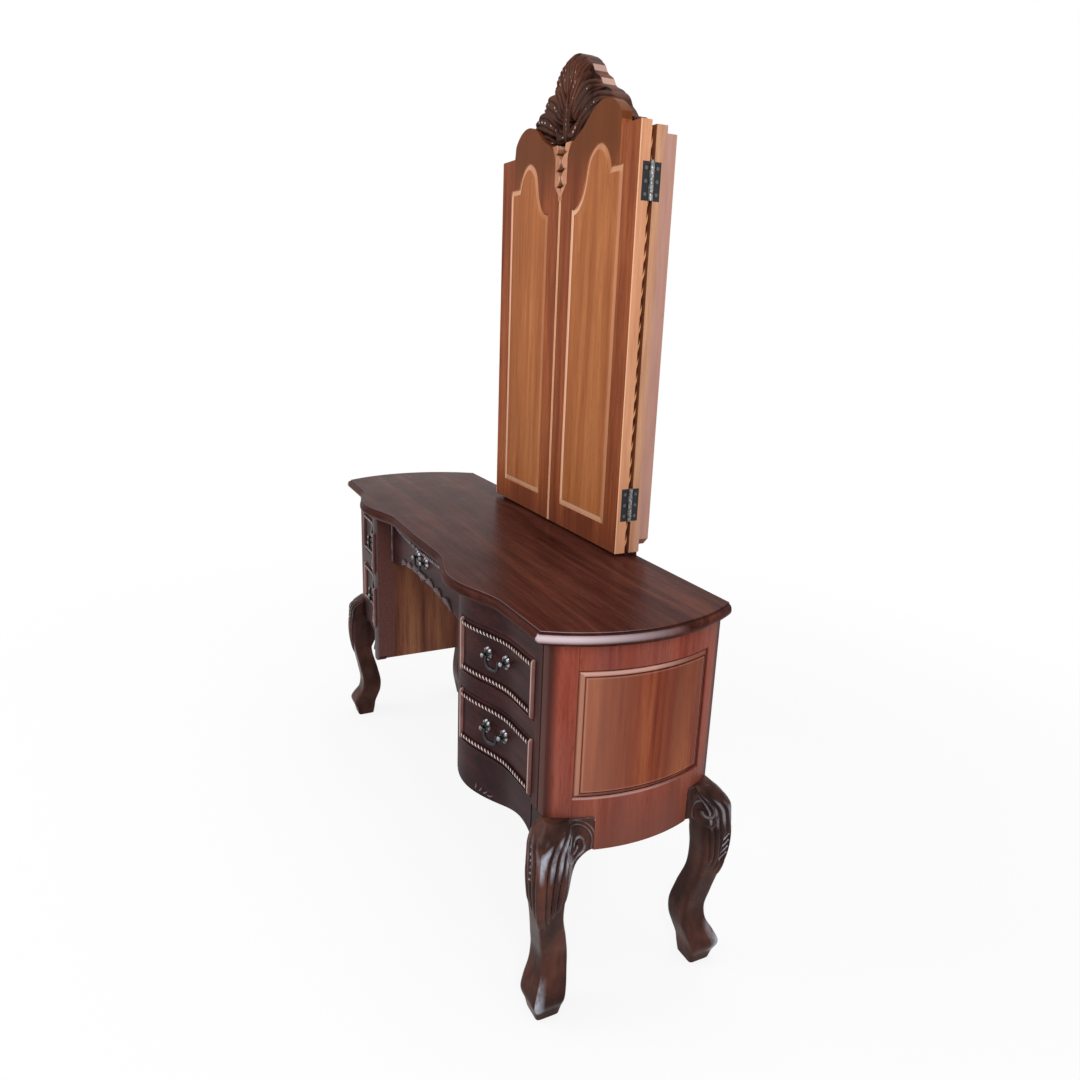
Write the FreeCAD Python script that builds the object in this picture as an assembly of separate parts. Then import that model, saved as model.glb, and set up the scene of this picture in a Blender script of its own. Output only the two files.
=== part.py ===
import FreeCAD, Part
import math
import os

# Kneehole dressing table with a folding triple mirror.
# Millimetres. X runs along the table, the front faces -Y, Z is up.
# The origin is on the floor under the middle of the whole object.

# Table top
desk_height = 760.0
top_thickness = 30.0
top_half_length = 632.0
top_corner_depth = 185.0
top_centre_depth = 195.0
top_back_depth = 200.0
top_end_bow = 56.0
edge_reach = 9.0
bulge_reach = 35.0
bulge_place = 320.0
bulge_half_width = 170.0
# Each pair is a share of the edge's reach and a share of the top's thickness, from the top down.
edge_profile_shares = [(0.0, 0.0), (0.0, 0.07), (0.45, 0.1), (0.88, 0.24), (1.0, 0.44),
                       (0.88, 0.62), (0.45, 0.76), (-0.5, 0.82), (-0.9, 1.0)]

# Case of the two pedestals
case_front_inset = 24.0
case_end_inset = 12.0
case_back_inset = 5.0
case_end_bow = 47.0
kneehole_half_width = 300.0
post_size = 45.0
end_thickness = 20.0
side_thickness = 18.0
inner_stile_width = 45.0
side_bottom_height = 328.0
front_thickness = 22.0
top_rail_height = 50.0
middle_rail_height = 36.0
leg_height = 398.0
bottom_board_thickness = 12.0
back_thickness = 8.0
apron_depth = 85.0
# Lower edge of the apron: shares of its length, from the kneehole, and of its depth.
apron_edge_shares = [(0.0, 0.74), (0.025, 0.88), (0.1, 0.97), (0.26, 1.0), (0.45, 0.95),
                     (0.64, 0.8), (0.85, 0.63), (1.0, 0.76)]

# Bowed end panels
end_bottom_height = 320.0
end_notch_half_gap = 78.0
panel_half_width = 134.0
panel_bottom_height = 450.0
panel_top_margin = 36.0
panel_recess = 3.0
panel_thickness = 11.0
panel_bevel_width = 16.0
panel_field_rise = 5.0

# Cabriole legs
leg_block_height = 62.0
leg_corner_radius = 5.0
knee_block_thickness = 24.0
knee_block_rise = 4.0
knee_block_drop = 62.0
knee_block_arch_share = 0.31
knee_block_toe_reach = 25.0
knee_block_toe_drop = 45.0
leg_side_shift = 10.8
# Each row is a share of the leg's height, then the shift of the section's middle along the
# outward diagonal and half its diagonal, as shares of the post's size.
leg_section_shares = [(0.0, 0.41, 0.74), (0.05, 0.44, 0.87), (0.11, 0.51, 1.05), (0.16, 0.3, 1.02),
                      (0.215, 0.02, 0.92), (0.285, -0.09, 0.87), (0.4, 0.125, 0.84), (0.53, 0.47, 0.795),
                      (0.65, 0.6, 0.89), (0.75, 0.565, 0.99), (0.85, 0.535, 0.975),
                      (0.92, 0.44, 0.96), (0.97, 0.19, 0.83), (1.0, 0.015, 0.755)]

# Drawers
drawer_gap = 1.5
drawer_board = 12.0
drawer_bottom_board = 5.0
drawer_bottom_rise = 8.0
drawer_side_gap = 4.0
drawer_top_gap = 12.0
drawer_back_gap = 14.0
drawer_running_gap = 0.3
drawer_post_gap = 1.0
rope_width = 7.0
rope_rise = 4.5
rope_margin = 8.0
strip_width = 9.0
strip_rise = 6.0
strip_margin = 3.0
runner_height = 14.0
runner_width = 22.0

# Kneehole drawer
centre_front_depth = 176.0
centre_end_depth = 157.0
centre_front_height = 123.0
centre_arch_rise = 65.0
centre_top_gap = 5.0
centre_box_height = 44.0
centre_box_half_width = 268.0
centre_runner_width = 34.0
# Arched lower edge: shares of the half length and of the arch's rise.
centre_arch_shares = [(1.0, 0.0), (0.9, 0.03), (0.72, 0.34), (0.55, 0.62), (0.36, 0.8), (0.14, 0.86),
                      (0.0, 1.0)]

# Bail pulls
pull_half_spacing = 27.0
pull_stand_off = 13.0
pull_drop = 20.0
pull_post_radius = 3.5
pull_eye_radius = 5.0
pull_leaf_height = 13.0
pull_leaf_width = 10.0
pull_leaf_thickness = 3.0
pull_leaf_crown_share = 0.6
bail_radius = 3.0
bail_pin_radius = 1.6
bail_pin_clearance = 0.08
bail_bend_radius = 9.0
bail_end_gap = 0.6
side_pull_place = 434.0
pull_rise = 7.0
pull_seat_gap = 0.1

# Kneehole back rail and mirror supports
back_rail_height = 125.0
back_rail_thickness = 22.0
support_width = 52.0
support_thickness = 22.0
support_inner_place = 196.0
support_top_height = 1240.0
support_screw_length = 42.0
support_screw_shares = (0.25, 0.75)
plinth_height = 8.0
plinth_step = 10.4

# Mirror
mirror_half_width = 318.0
mirror_set_in = 20.6
mirror_frame_thickness = 24.6
mirror_shoulder_rise = 838.0
centre_stile_width = 62.0
centre_bottom_rail = 54.0
centre_arch_height = 58.0
centre_arch_half_width = 200.0
centre_opening_shoulder = 740.0
rim_width = 28.0
rim_bottom_rise = 12.0
rim_top_drop = 14.0
rim_chamfer = 16.0
glass_thickness = 4.0
glass_set_back = 10.0
backboard_thickness = 6.0
fitting_clearance = 0.2
moulding_width = 14.0
moulding_rise = 4.4

# Crest
crest_half_width = 250.0
crest_height = 184.0
crest_board_front = 6.0
crest_relief = 16.0
crest_relief_drop = 100.0
crest_relief_share = 0.8
crest_outline_shares = [(1.0, 0.0), (0.99, 0.1), (0.86, 0.175), (0.8, 0.24), (0.76, 0.29), (0.7, 0.38),
                        (0.61, 0.48), (0.52, 0.535), (0.45, 0.605), (0.42, 0.645), (0.37, 0.7),
                        (0.31, 0.76), (0.28, 0.81), (0.24, 0.87), (0.16, 0.93), (0.06, 0.985),
                        (0.0, 1.0)]

# Mirror wings
wing_thickness = 23.6
wing_gap = 11.0
wing_meeting_gap = 1.5
wing_shoulder_rise = 844.0
wing_step_place = 248.0
wing_hump_rise = 58.0
wing_notch_width = 22.0
wing_notch_top_drop = 26.0
wing_notch_bottom_drop = 82.0
wing_notch_end_drop = 107.0
# Hump from the step to the notch: shares of the mirror's half width and of the hump's rise.
wing_hump_shares = [(0.765, 0.45), (0.7, 0.78), (0.588, 1.0), (0.472, 0.93), (0.371, 0.64),
                    (0.283, 0.3), (0.189, 0.06), (0.126, -0.16)]
wing_stile_width = 56.0
wing_bottom_rail = 52.0
wing_panel_shoulder = 705.0
wing_panel_rise = 120.0
wing_panel_step_place = 217.0
# Cyma of the panel's head: shares of the panel's width to its step, and of the head's rise.
wing_panel_shares = [(0.0, 0.0), (0.12, 0.03), (0.22, 0.13), (0.31, 0.35), (0.36, 0.6), (0.41, 0.78),
                     (0.52, 0.93), (0.68, 1.0), (0.83, 0.92), (0.94, 0.76), (1.0, 0.58)]
wing_panel_thickness = 9.0
wing_panel_bevel = 14.0
wing_panel_recess = 1.5
wing_panel_field = 3.0

# Butt hinges
hinge_length = 70.0
hinge_lower_rise = 70.0
hinge_upper_rise = 702.0
hinge_leaf_thickness = 2.0
hinge_leaf_width = 16.0
hinge_axis_out = 1.0
hinge_barrel_radius = 4.5
hinge_pin_radius = 2.2
hinge_pin_clearance = 0.06
hinge_pin_head = 2.5
hinge_running_gap = 0.4
hinge_knuckles = 5
screw_radius = 2.0
screw_head_radius = 3.6
screw_head_height = 0.8
screw_length = 18.0
screws_per_leaf = 3

curve_point_count = 17
overrun = 5.0
clear_ahead = 80.0

# Levels and places that follow from the sizes above
case_top = desk_height - top_thickness
case_half_length = top_half_length - case_end_inset
case_back = top_back_depth - case_back_inset
drawer_floor = leg_height + bottom_board_thickness
drawer_opening = (case_top - top_rail_height - middle_rail_height - drawer_floor) / 2
middle_rail_bottom = drawer_floor + drawer_opening
upper_floor = middle_rail_bottom + middle_rail_height
post_inner = case_half_length - post_size
drawer_outer_reach = post_inner - drawer_post_gap
mirror_bottom = desk_height + plinth_height
mirror_front_depth = top_back_depth - mirror_set_in
plinth_front_depth = mirror_front_depth - plinth_step
mirror_shoulder = mirror_bottom + mirror_shoulder_rise
mirror_back_depth = mirror_front_depth + mirror_frame_thickness
wing_back_depth = mirror_front_depth - wing_gap
wing_front_depth = wing_back_depth - wing_thickness
hinge_axis_x = mirror_half_width + hinge_axis_out
hinge_axis_y = (wing_back_depth + mirror_front_depth) / 2


def vec(x, y, z=0.0):
    return FreeCAD.Vector(x, y, z)


def block(x0, x1, y0, y1, z0, z1):
    return Part.makeBox(x1 - x0, y1 - y0, z1 - z0, vec(x0, y0, z0))


def polyline(points):
    return [Part.LineSegment(a, b).toShape() for a, b in zip(points, points[1:])]


def spline(points):
    curve = Part.BSplineCurve()
    curve.interpolate(points)
    return curve.toShape()


def arc(start, middle, end):
    return Part.Arc(start, middle, end).toShape()


def prism(edges, along):
    return Part.Face(Part.Wire(edges)).extrude(along)


def mirrored(shape):
    return shape.mirror(vec(0, 0), vec(1, 0))


def spread(start, end, count):
    return [start + (end - start) * i / (count - 1) for i in range(count)]


def front_depth(x):
    # Plan depth of the top's front edge: a shallow slope to the corners and one rounded
    # swelling in front of each pedestal's kneehole side.
    slope = top_centre_depth + (top_corner_depth - top_centre_depth) * abs(x) / top_half_length
    distance = abs(abs(x) - bulge_place)
    if distance >= bulge_half_width:
        return slope
    return slope + bulge_reach * math.cos(math.pi * distance / (2 * bulge_half_width)) ** 2


def front_curve(x0, x1, inset, z):
    return spline([vec(x, inset - front_depth(x), z) for x in spread(x0, x1, curve_point_count)])


def front_layer(x0, x1, z0, z1, inset, thickness):
    # A board that follows the serpentine front.
    near = front_curve(x0, x1, inset, z0)
    far = front_curve(x0, x1, inset + thickness, z0)
    sides = [Part.LineSegment(a.valueAt(a.FirstParameter if first else a.LastParameter),
                              b.valueAt(b.FirstParameter if first else b.LastParameter)).toShape()
             for a, b, first in ((near, far, True), (near, far, False))]
    return prism([near, sides[1], far, sides[0]], vec(0, 0, z1 - z0))


def top_wire(reach, z):
    # Outline of the top, moved outwards by reach.
    x = top_half_length + reach
    corner = front_depth(x) + reach
    bow = x + top_end_bow
    middle = (top_back_depth - corner) / 2
    front = spline([vec(px, -front_depth(px) - reach, z) for px in spread(-x, x, 4 * curve_point_count)])
    right = arc(vec(x, -corner, z), vec(bow, middle, z), vec(x, top_back_depth, z))
    back = Part.LineSegment(vec(x, top_back_depth, z), vec(-x, top_back_depth, z)).toShape()
    left = arc(vec(-x, top_back_depth, z), vec(-bow, middle, z), vec(-x, -corner, z))
    return Part.Wire([front, right, back, left])


def table_top():
    wires = [top_wire(reach * edge_reach, desk_height - drop * top_thickness)
             for reach, drop in edge_profile_shares]
    return Part.makeLoft(wires, True, True)


def end_arc(inset, z):
    # Bowed end of the case, moved inwards by inset.
    front = case_front_inset - front_depth(case_half_length)
    start = vec(case_half_length, front, z)
    middle = vec(case_half_length + case_end_bow, (front + case_back) / 2, z)
    end = vec(case_half_length, case_back, z)
    circle = Part.Circle(start, middle, end)
    radius = circle.Radius - inset
    centre = circle.Center
    half_chord = (case_back - front) / 2
    across = math.sqrt(radius ** 2 - half_chord ** 2)
    return arc(vec(centre.x + across, front, z), vec(centre.x + radius, middle.y, z),
               vec(centre.x + across, case_back, z))


def end_shell(outer, inner, z0, z1):
    # Bowed board between two insets from the case's end.
    out, into = end_arc(outer, z0), end_arc(inner, z0)
    ends = [Part.LineSegment(out.Vertexes[i].Point, into.Vertexes[i].Point).toShape() for i in (0, 1)]
    return prism([out, ends[1], into, ends[0]], vec(0, 0, z1 - z0))


def case_region(inset, z0, z1):
    # Everything inside the right pedestal's plan, with its bowed end moved inwards by inset.
    front = front_curve(kneehole_half_width, case_half_length, case_front_inset, z0)
    end = end_arc(inset, z0)
    start, stop = end.Vertexes[0].Point, end.Vertexes[1].Point
    corner = front.Vertexes[1].Point
    edges = [front, end] + polyline([stop, vec(kneehole_half_width, case_back, z0), front.Vertexes[0].Point])
    if corner.distanceToPoint(start) > fitting_clearance:
        trimmed = front_curve(kneehole_half_width, start.x, case_front_inset, z0)
        joint = trimmed.Vertexes[1].Point
        edges = [trimmed, Part.LineSegment(joint, start).toShape(), end] + polyline(
            [stop, vec(kneehole_half_width, case_back, z0), trimmed.Vertexes[0].Point])
    return prism(edges, vec(0, 0, z1 - z0))


def corner_posts():
    inside = case_region(end_thickness, leg_height, case_top)
    front_face = case_front_inset - front_depth(post_inner)
    outer = case_half_length + case_end_bow
    front = block(post_inner, outer, front_face - overrun, front_face + post_size, leg_height, case_top)
    back = block(post_inner, outer, case_back - post_size, case_back, leg_height, case_top)
    return [front.common(inside), back.common(inside)]


def end_frame():
    top = case_top - panel_top_margin
    front = case_front_inset - front_depth(case_half_length)
    middle = (front + case_back) / 2
    reach = case_half_length + case_end_bow + overrun
    shell = end_shell(0.0, end_thickness, end_bottom_height, case_top)
    low, high = middle - panel_half_width, middle + panel_half_width
    notches = [block(0.0, reach, front - overrun, middle - end_notch_half_gap, 0.0, leg_height),
               block(0.0, reach, middle + end_notch_half_gap, case_back + overrun, 0.0, leg_height)]
    bottom_rail = block(0.0, reach, front - overrun, case_back + overrun, 0.0, panel_bottom_height)
    top_rail = block(0.0, reach, front - overrun, case_back + overrun, top, case_top)
    front_stile = block(0.0, reach, front - overrun, low, panel_bottom_height, top)
    back_stile = block(0.0, reach, high, case_back + overrun, panel_bottom_height, top)
    pieces = [shell.common(piece) for piece in (bottom_rail, top_rail, front_stile, back_stile)]
    for notch in notches:
        pieces[0] = pieces[0].cut(notch)
    return pieces


def end_panel():
    # Bowed panel with a bevelled margin and a raised field.
    bottom, top = panel_bottom_height, case_top - panel_top_margin
    front = case_front_inset - front_depth(case_half_length)
    middle = (front + case_back) / 2
    reach = case_half_length + case_end_bow + overrun
    gap = fitting_clearance
    board = end_shell(panel_recess, panel_recess + panel_thickness, bottom + gap, top - gap)
    board = board.common(block(0.0, reach, middle - panel_half_width + gap, middle + panel_half_width - gap,
                               bottom, top))
    field = end_shell(panel_recess - panel_field_rise, panel_recess + panel_thickness / 2,
                      bottom + panel_bevel_width, top - panel_bevel_width)
    half = panel_half_width - panel_bevel_width
    field = field.common(block(0.0, reach, middle - half, middle + half, bottom, top))
    return [board.fuse(field).removeSplitter()]


def inner_side():
    x0, x1 = kneehole_half_width, kneehole_half_width + side_thickness
    front = case_front_inset - front_depth(x0) + inner_stile_width
    return [block(x0, x1, front, case_back - back_thickness, side_bottom_height, case_top)]


def inner_stile():
    x0, x1 = kneehole_half_width, kneehole_half_width + side_thickness
    back = case_front_inset - front_depth(kneehole_half_width) + inner_stile_width
    region = case_region(0.0, side_bottom_height, case_top)
    whole = block(x0, x1, -top_back_depth - bulge_reach, back, side_bottom_height, case_top).common(region)
    rebate = front_layer(x0 - overrun, x1 + overrun, side_bottom_height - overrun,
                         leg_height, case_front_inset - overrun, front_thickness + overrun)
    return whole.cut(rebate)


def apron():
    x0, x1 = kneehole_half_width, post_inner
    low = leg_height - apron_depth
    board = front_layer(x0, x1, low - overrun, leg_height, case_front_inset, front_thickness)
    edge = [vec(x0 + along * (x1 - x0), 0, leg_height - down * apron_depth)
            for along, down in apron_edge_shares]
    outline = [spline(edge)] + polyline([edge[-1], vec(x1, 0, leg_height),
                                         vec(x0, 0, leg_height), edge[0]])
    window = prism(outline, vec(0, 2 * top_back_depth, 0))
    window.translate(vec(0, -2 * top_back_depth, 0))
    return board.common(window)


def front_frame():
    x0, x1 = kneehole_half_width + side_thickness, post_inner
    rails = [(case_top - top_rail_height, case_top), (middle_rail_bottom, upper_floor)]
    pieces = [front_layer(x0, x1, low, high, case_front_inset, front_thickness) for low, high in rails]
    return [inner_stile()] + pieces + [apron()]


def bottom_board():
    region = case_region(end_thickness, leg_height, drawer_floor)
    board = block(kneehole_half_width + side_thickness, case_half_length + case_end_bow,
                  -top_back_depth - bulge_reach, case_back - back_thickness, leg_height, drawer_floor)
    board = board.common(region)
    for post in corner_posts():
        board = board.cut(post)
    return board


def back_panel():
    return block(kneehole_half_width, post_inner, case_back - back_thickness, case_back,
                 side_bottom_height, case_top)


def runners():
    # Two side runners under the upper drawer of the right pedestal; the lower drawer runs on
    # the bottom board.
    front = case_front_inset - front_depth(bulge_place) + inner_stile_width
    back = case_back - back_thickness
    outer_front = case_front_inset - front_depth(post_inner) + post_size
    outer = drawer_outer_reach - drawer_side_gap
    inner = kneehole_half_width + side_thickness
    low = upper_floor - runner_height
    return [block(inner, inner + runner_width, front, back, low, upper_floor),
            block(outer - runner_width, post_inner + runner_width, outer_front, case_back - post_size,
                  low, upper_floor)]


def centre_runner():
    x1 = kneehole_half_width
    top = case_top - centre_top_gap - drawer_gap - centre_box_height
    front = centre_front_inner_y()
    return block(x1 - centre_runner_width, x1, front, case_back - back_rail_thickness,
                 top - runner_height, top)


def centre_front_inner_y():
    return front_thickness - centre_end_depth


def kneehole_rail():
    return block(-kneehole_half_width, kneehole_half_width, case_back - back_rail_thickness, case_back,
                 case_top - back_rail_height, case_top)


def leg():
    # Cabriole leg of the front right corner: square sections whose middle wanders along the
    # outward diagonal, beside a plain block under the post.
    front = case_front_inset - front_depth(case_half_length)
    wires = []
    for height, shift, half_diagonal in leg_section_shares:
        middle = shift * post_size / math.sqrt(2)
        half = half_diagonal * post_size / math.sqrt(2)
        wires.append(rounded_square(case_half_length + leg_side_shift + middle,
                                    front + leg_side_shift - middle, half, leg_corner_radius,
                                    height * leg_height))
    body = Part.makeLoft(wires, True, False)
    post = block(post_inner, case_half_length, front, front + post_size, leg_height - leg_block_height,
                 leg_height)
    return body.fuse(post).removeSplitter()


def rounded_square(x, y, half, radius, z):
    flat = half - radius
    edges = []
    for k in range(4):
        turn = k * math.pi / 2
        cos, sin = math.cos(turn), math.sin(turn)

        def at(px, py):
            return vec(x + px * cos - py * sin, y + px * sin + py * cos, z)

        bevel = radius * (1 - 1 / math.sqrt(2))
        edges.append(Part.LineSegment(at(half, -flat), at(half, flat)).toShape())
        edges.append(arc(at(half, flat), at(half - bevel, half - bevel), at(flat, half)))
    return Part.Wire(edges)


def knee_block(leg_solid):
    # Ear between the leg and the bowed end rail; its lower edge runs on down into the leg.
    front = case_front_inset - front_depth(case_half_length)
    middle = (front + case_back) / 2
    y0, y1 = front + post_size, middle - end_notch_half_gap
    low = end_bottom_height - knee_block_drop
    toe = vec(0, y0 - knee_block_toe_reach, low - knee_block_toe_drop)
    shell = end_shell(-knee_block_rise, knee_block_thickness, toe.z - overrun, leg_height)
    mid = vec(0, (y0 + y1) / 2, end_bottom_height - knee_block_drop * knee_block_arch_share)
    outline = [arc(vec(0, y0, low), mid, vec(0, y1, end_bottom_height))] + polyline(
        [vec(0, y1, end_bottom_height), vec(0, y1, leg_height), vec(0, toe.y, leg_height), toe,
         vec(0, y0, low)])
    window = prism(outline, vec(2 * case_half_length, 0, 0))
    return shell.common(window).cut(leg_solid)


def to_rear(shape):
    # Turns a front corner piece into the rear corner's.
    front = case_front_inset - front_depth(case_half_length)
    return shape.mirror(vec(0, (front + case_back) / 2), vec(0, 1))


def drawer_front(floor):
    x0 = kneehole_half_width + side_thickness + drawer_gap
    x1 = drawer_outer_reach
    z0, z1 = floor + drawer_gap, floor + drawer_opening - drawer_gap
    pieces = [front_layer(x0, x1, z0, z1, case_front_inset, front_thickness)]
    outer = strip_margin + strip_width
    for low in (z0 + rope_margin, z1 - rope_margin - rope_width):
        rope = front_layer(x0, x1, low, low + rope_width, case_front_inset - rope_rise, rope_rise)
        pieces.append(rope.common(across_front(x0 + outer, x1 - outer)))
    strip = front_layer(x0, x1, z0, z1, case_front_inset - strip_rise, strip_rise)
    for left in (x0 + strip_margin, x1 - outer):
        pieces.append(strip.common(across_front(left, left + strip_width)))
    return pieces


def across_front(x0, x1):
    # Everything in front of the case between two places of its length.
    return block(x0, x1, -2 * top_back_depth, 0.0, 0.0, desk_height)


def drawer_box(x0, x1, y1, z0, z1, ahead):
    # Two sides, a back and a bottom, cut off by the space ahead of the front's rear face.
    far = -top_back_depth - bulge_reach
    b = drawer_board
    low = z0 + drawer_bottom_rise
    sides = [block(x0, x0 + b, far, y1, z0, z1), block(x1 - b, x1, far, y1, z0, z1)]
    back = block(x0 + b, x1 - b, y1 - b, y1, low, z1)
    bottom = block(x0 + b, x1 - b, far, y1 - b, low, low + drawer_bottom_board)
    return [piece.cut(ahead) for piece in sides] + [back, bottom.cut(ahead)]


def pull_frame(x, surface, z):
    # Placement of a pull on a curved front: its turn about Z follows the surface.
    step = pull_half_spacing
    slope = (surface(x + step) - surface(x - step)) / (2 * step)
    angle = math.degrees(math.atan(slope))
    y = (surface(x + step) + surface(x - step)) / 2
    return FreeCAD.Placement(vec(x, y, z), FreeCAD.Rotation(vec(0, 0, 1), angle))


def leaf_wire(x, y, scale):
    # Upright oval of a mount's leaf, at one depth.
    tall = vec(x, y, pull_leaf_height * scale)
    oval = Part.Ellipse(tall, vec(x + pull_leaf_width * scale, y, 0), vec(x, y, 0))
    return Part.Wire([oval.toShape()])


def pull_mounts():
    # Two leaf shaped mounts with an eye each, drawn about the pull's middle.
    pieces = []
    for sign in (-1, 1):
        x = sign * pull_half_spacing
        wires = [leaf_wire(x, pull_leaf_thickness, 1.0), leaf_wire(x, -pull_leaf_thickness / 2, 1.0),
                 leaf_wire(x, -pull_leaf_thickness, pull_leaf_crown_share)]
        leaf = Part.makeLoft(wires, True, True)
        post = Part.makeCylinder(pull_post_radius, pull_stand_off, vec(x, 0, 0), vec(0, -1, 0))
        eye = Part.makeSphere(pull_eye_radius, vec(x, -pull_stand_off, 0))
        bore = Part.makeCylinder(bail_pin_radius + bail_pin_clearance, 2 * pull_eye_radius + overrun,
                                 vec(x - pull_eye_radius - overrun / 2, -pull_stand_off, 0), vec(1, 0, 0))
        pieces.append(leaf.fuse(post).fuse(eye).cut(bore).removeSplitter())
    return pieces


def bail():
    # Round bar that hangs between the eyes, with a thinner pin at each end.
    half = pull_half_spacing - pull_eye_radius - bail_end_gap - bail_radius
    y = -pull_stand_off
    r = bail_bend_radius
    knee = r * (1 - 1 / math.sqrt(2))
    path = [Part.LineSegment(vec(-half, y, 0), vec(-half, y, r - pull_drop)).toShape(),
            arc(vec(-half, y, r - pull_drop), vec(-half + knee, y, knee - pull_drop),
                vec(r - half, y, -pull_drop)),
            Part.LineSegment(vec(r - half, y, -pull_drop), vec(half - r, y, -pull_drop)).toShape(),
            arc(vec(half - r, y, -pull_drop), vec(half - knee, y, knee - pull_drop),
                vec(half, y, r - pull_drop)),
            Part.LineSegment(vec(half, y, r - pull_drop), vec(half, y, 0)).toShape()]
    ring = Part.Wire([Part.makeCircle(bail_radius, vec(-half, y, 0), vec(0, 0, 1))])
    bar = Part.Wire(path).makePipeShell([ring], True, False)
    reach = 2 * bail_radius + bail_end_gap + 2 * pull_eye_radius
    for sign in (-1, 1):
        bar = bar.fuse(Part.makeSphere(bail_radius, vec(sign * half, y, 0)))
        bar = bar.fuse(Part.makeCylinder(bail_pin_radius, reach - bail_radius, vec(sign * half, y, 0),
                                         vec(sign, 0, 0)))
    return [bar.removeSplitter()]


def placed(shapes, placement):
    moved = []
    for shape in shapes:
        copy = shape.copy()
        copy.Placement = placement
        moved.append(copy)
    return moved


def pull(placement, board):
    # The mounts' backs follow the board's curved face, a hair in front of it.
    seat = board.copy()
    seat.translate(vec(0, -pull_seat_gap, 0))
    return {"pull_mounts": [mount.cut(seat) for mount in placed(pull_mounts(), placement)],
            "bail": placed(bail(), placement)}


def side_drawer(floor, sign):
    # Drawer of the right pedestal, or of the left one when sign is negative.
    front = drawer_front(floor)
    z0 = floor
    z1 = floor + drawer_opening - drawer_top_gap
    x0 = kneehole_half_width + side_thickness + drawer_side_gap
    x1 = drawer_outer_reach - drawer_side_gap
    y1 = case_back - back_thickness - drawer_back_gap
    placement = pull_frame(sign * side_pull_place, lambda x: case_front_inset - front_depth(x),
                           floor + drawer_opening / 2 + pull_rise)
    ahead = front_layer(x0 - drawer_side_gap + drawer_gap, drawer_outer_reach, z0 - overrun, z1 + overrun,
                        case_front_inset - clear_ahead, front_thickness + clear_ahead)
    box = drawer_box(x0, x1, y1, z0 + drawer_running_gap, z1, ahead)
    if sign < 0:
        front = [mirrored(piece) for piece in front]
        box = [mirrored(piece) for piece in box]
    return {"front": front, "box": box} | pull(placement, front[0])


def centre_surface(x):
    # Bow of the kneehole drawer: a circle through its two ends and its middle.
    half = kneehole_half_width
    rise = centre_front_depth - centre_end_depth
    radius = (half ** 2 + rise ** 2) / (2 * rise)
    return radius - centre_front_depth - math.sqrt(radius ** 2 - x ** 2)


def centre_layer(x0, x1, z0, z1, inset, thickness):
    near = [vec(x, centre_surface(x) + inset, z0) for x in spread(x0, x1, 3)]
    far = [point + vec(0, thickness, 0) for point in near]
    edges = [arc(*near), Part.LineSegment(near[2], far[2]).toShape(), arc(*far),
             Part.LineSegment(far[0], near[0]).toShape()]
    return prism(edges, vec(0, 0, z1 - z0))


def centre_front():
    half = kneehole_half_width - drawer_gap
    top = case_top - centre_top_gap
    low = top - centre_front_height
    board = centre_layer(-half, half, low - overrun, top, 0.0, front_thickness)
    right = [vec(along * half, 0, low + rise * centre_arch_rise) for along, rise in centre_arch_shares]
    left = [vec(-point.x, 0, point.z) for point in reversed(right[:-1])]
    outline = [spline(right + left)] + polyline([left[-1], vec(-half, 0, top), vec(half, 0, top), right[0]])
    window = prism(outline, vec(0, 2 * top_back_depth, 0))
    window.translate(vec(0, -2 * top_back_depth, 0))
    pieces = [board.common(window)]
    for side in (-1, 1):
        edge = side * (half - strip_margin)
        x0, x1 = sorted((edge, edge - side * strip_width))
        pieces.append(centre_layer(x0, x1, low + strip_margin, top, -strip_rise, strip_rise).cut(pieces[0]))
    inner = half - strip_margin - strip_width
    z = top - rope_margin
    pieces.append(centre_layer(-inner, inner, z - rope_width, z, -rope_rise, rope_rise).cut(pieces[0]))
    return pieces


def centre_drawer():
    front = centre_front()
    z1 = case_top - centre_top_gap - drawer_gap
    half = centre_box_half_width
    y1 = case_back - back_rail_thickness - drawer_back_gap
    z = case_top - centre_top_gap - (centre_front_height - centre_arch_rise) / 2
    placement = FreeCAD.Placement(vec(0, centre_surface(0), z), FreeCAD.Rotation())
    reach = kneehole_half_width - drawer_gap
    ahead = centre_layer(-reach, reach, z1 - centre_box_height - overrun, z1 + overrun, -clear_ahead,
                         front_thickness + clear_ahead)
    box = drawer_box(-half, half, y1, z1 - centre_box_height + drawer_running_gap, z1, ahead)
    return {"front": front, "box": box} | pull(placement, front[0])


def plinth():
    return block(-mirror_half_width, mirror_half_width, plinth_front_depth, top_back_depth,
                 desk_height, mirror_bottom)


def supports():
    # Two uprights behind the table that carry the mirror, each on a packing block.
    pieces = []
    bottom = case_top - back_rail_height
    y0 = mirror_back_depth
    for sign in (-1, 1):
        x0, x1 = sorted((sign * support_inner_place, sign * (support_inner_place + support_width)))
        pieces.append(block(x0, x1, y0, y0 + support_thickness, bottom, support_top_height))
        pieces.append(block(x0, x1, case_back, y0, bottom, case_top - fitting_clearance))
    return pieces


def centre_opening(grow):
    # Arched opening of the centre frame, in the XZ plane, grown outwards by grow.
    half = mirror_half_width - centre_stile_width + grow
    low = mirror_bottom + centre_bottom_rail - grow
    shoulder = mirror_bottom + centre_opening_shoulder + grow
    step = centre_arch_half_width + grow
    peak = shoulder + centre_arch_height
    return polyline([vec(-step, 0, shoulder), vec(-half, 0, shoulder), vec(-half, 0, low), vec(half, 0, low),
                     vec(half, 0, shoulder), vec(step, 0, shoulder)]) + [
        arc(vec(step, 0, shoulder), vec(0, 0, peak), vec(-step, 0, shoulder))]


def slab(edges, y0, y1):
    # A flat piece between two depths, from an outline in the XZ plane.
    solid = prism(edges, vec(0, y1 - y0, 0))
    solid.translate(vec(0, y0, 0))
    return solid


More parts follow.
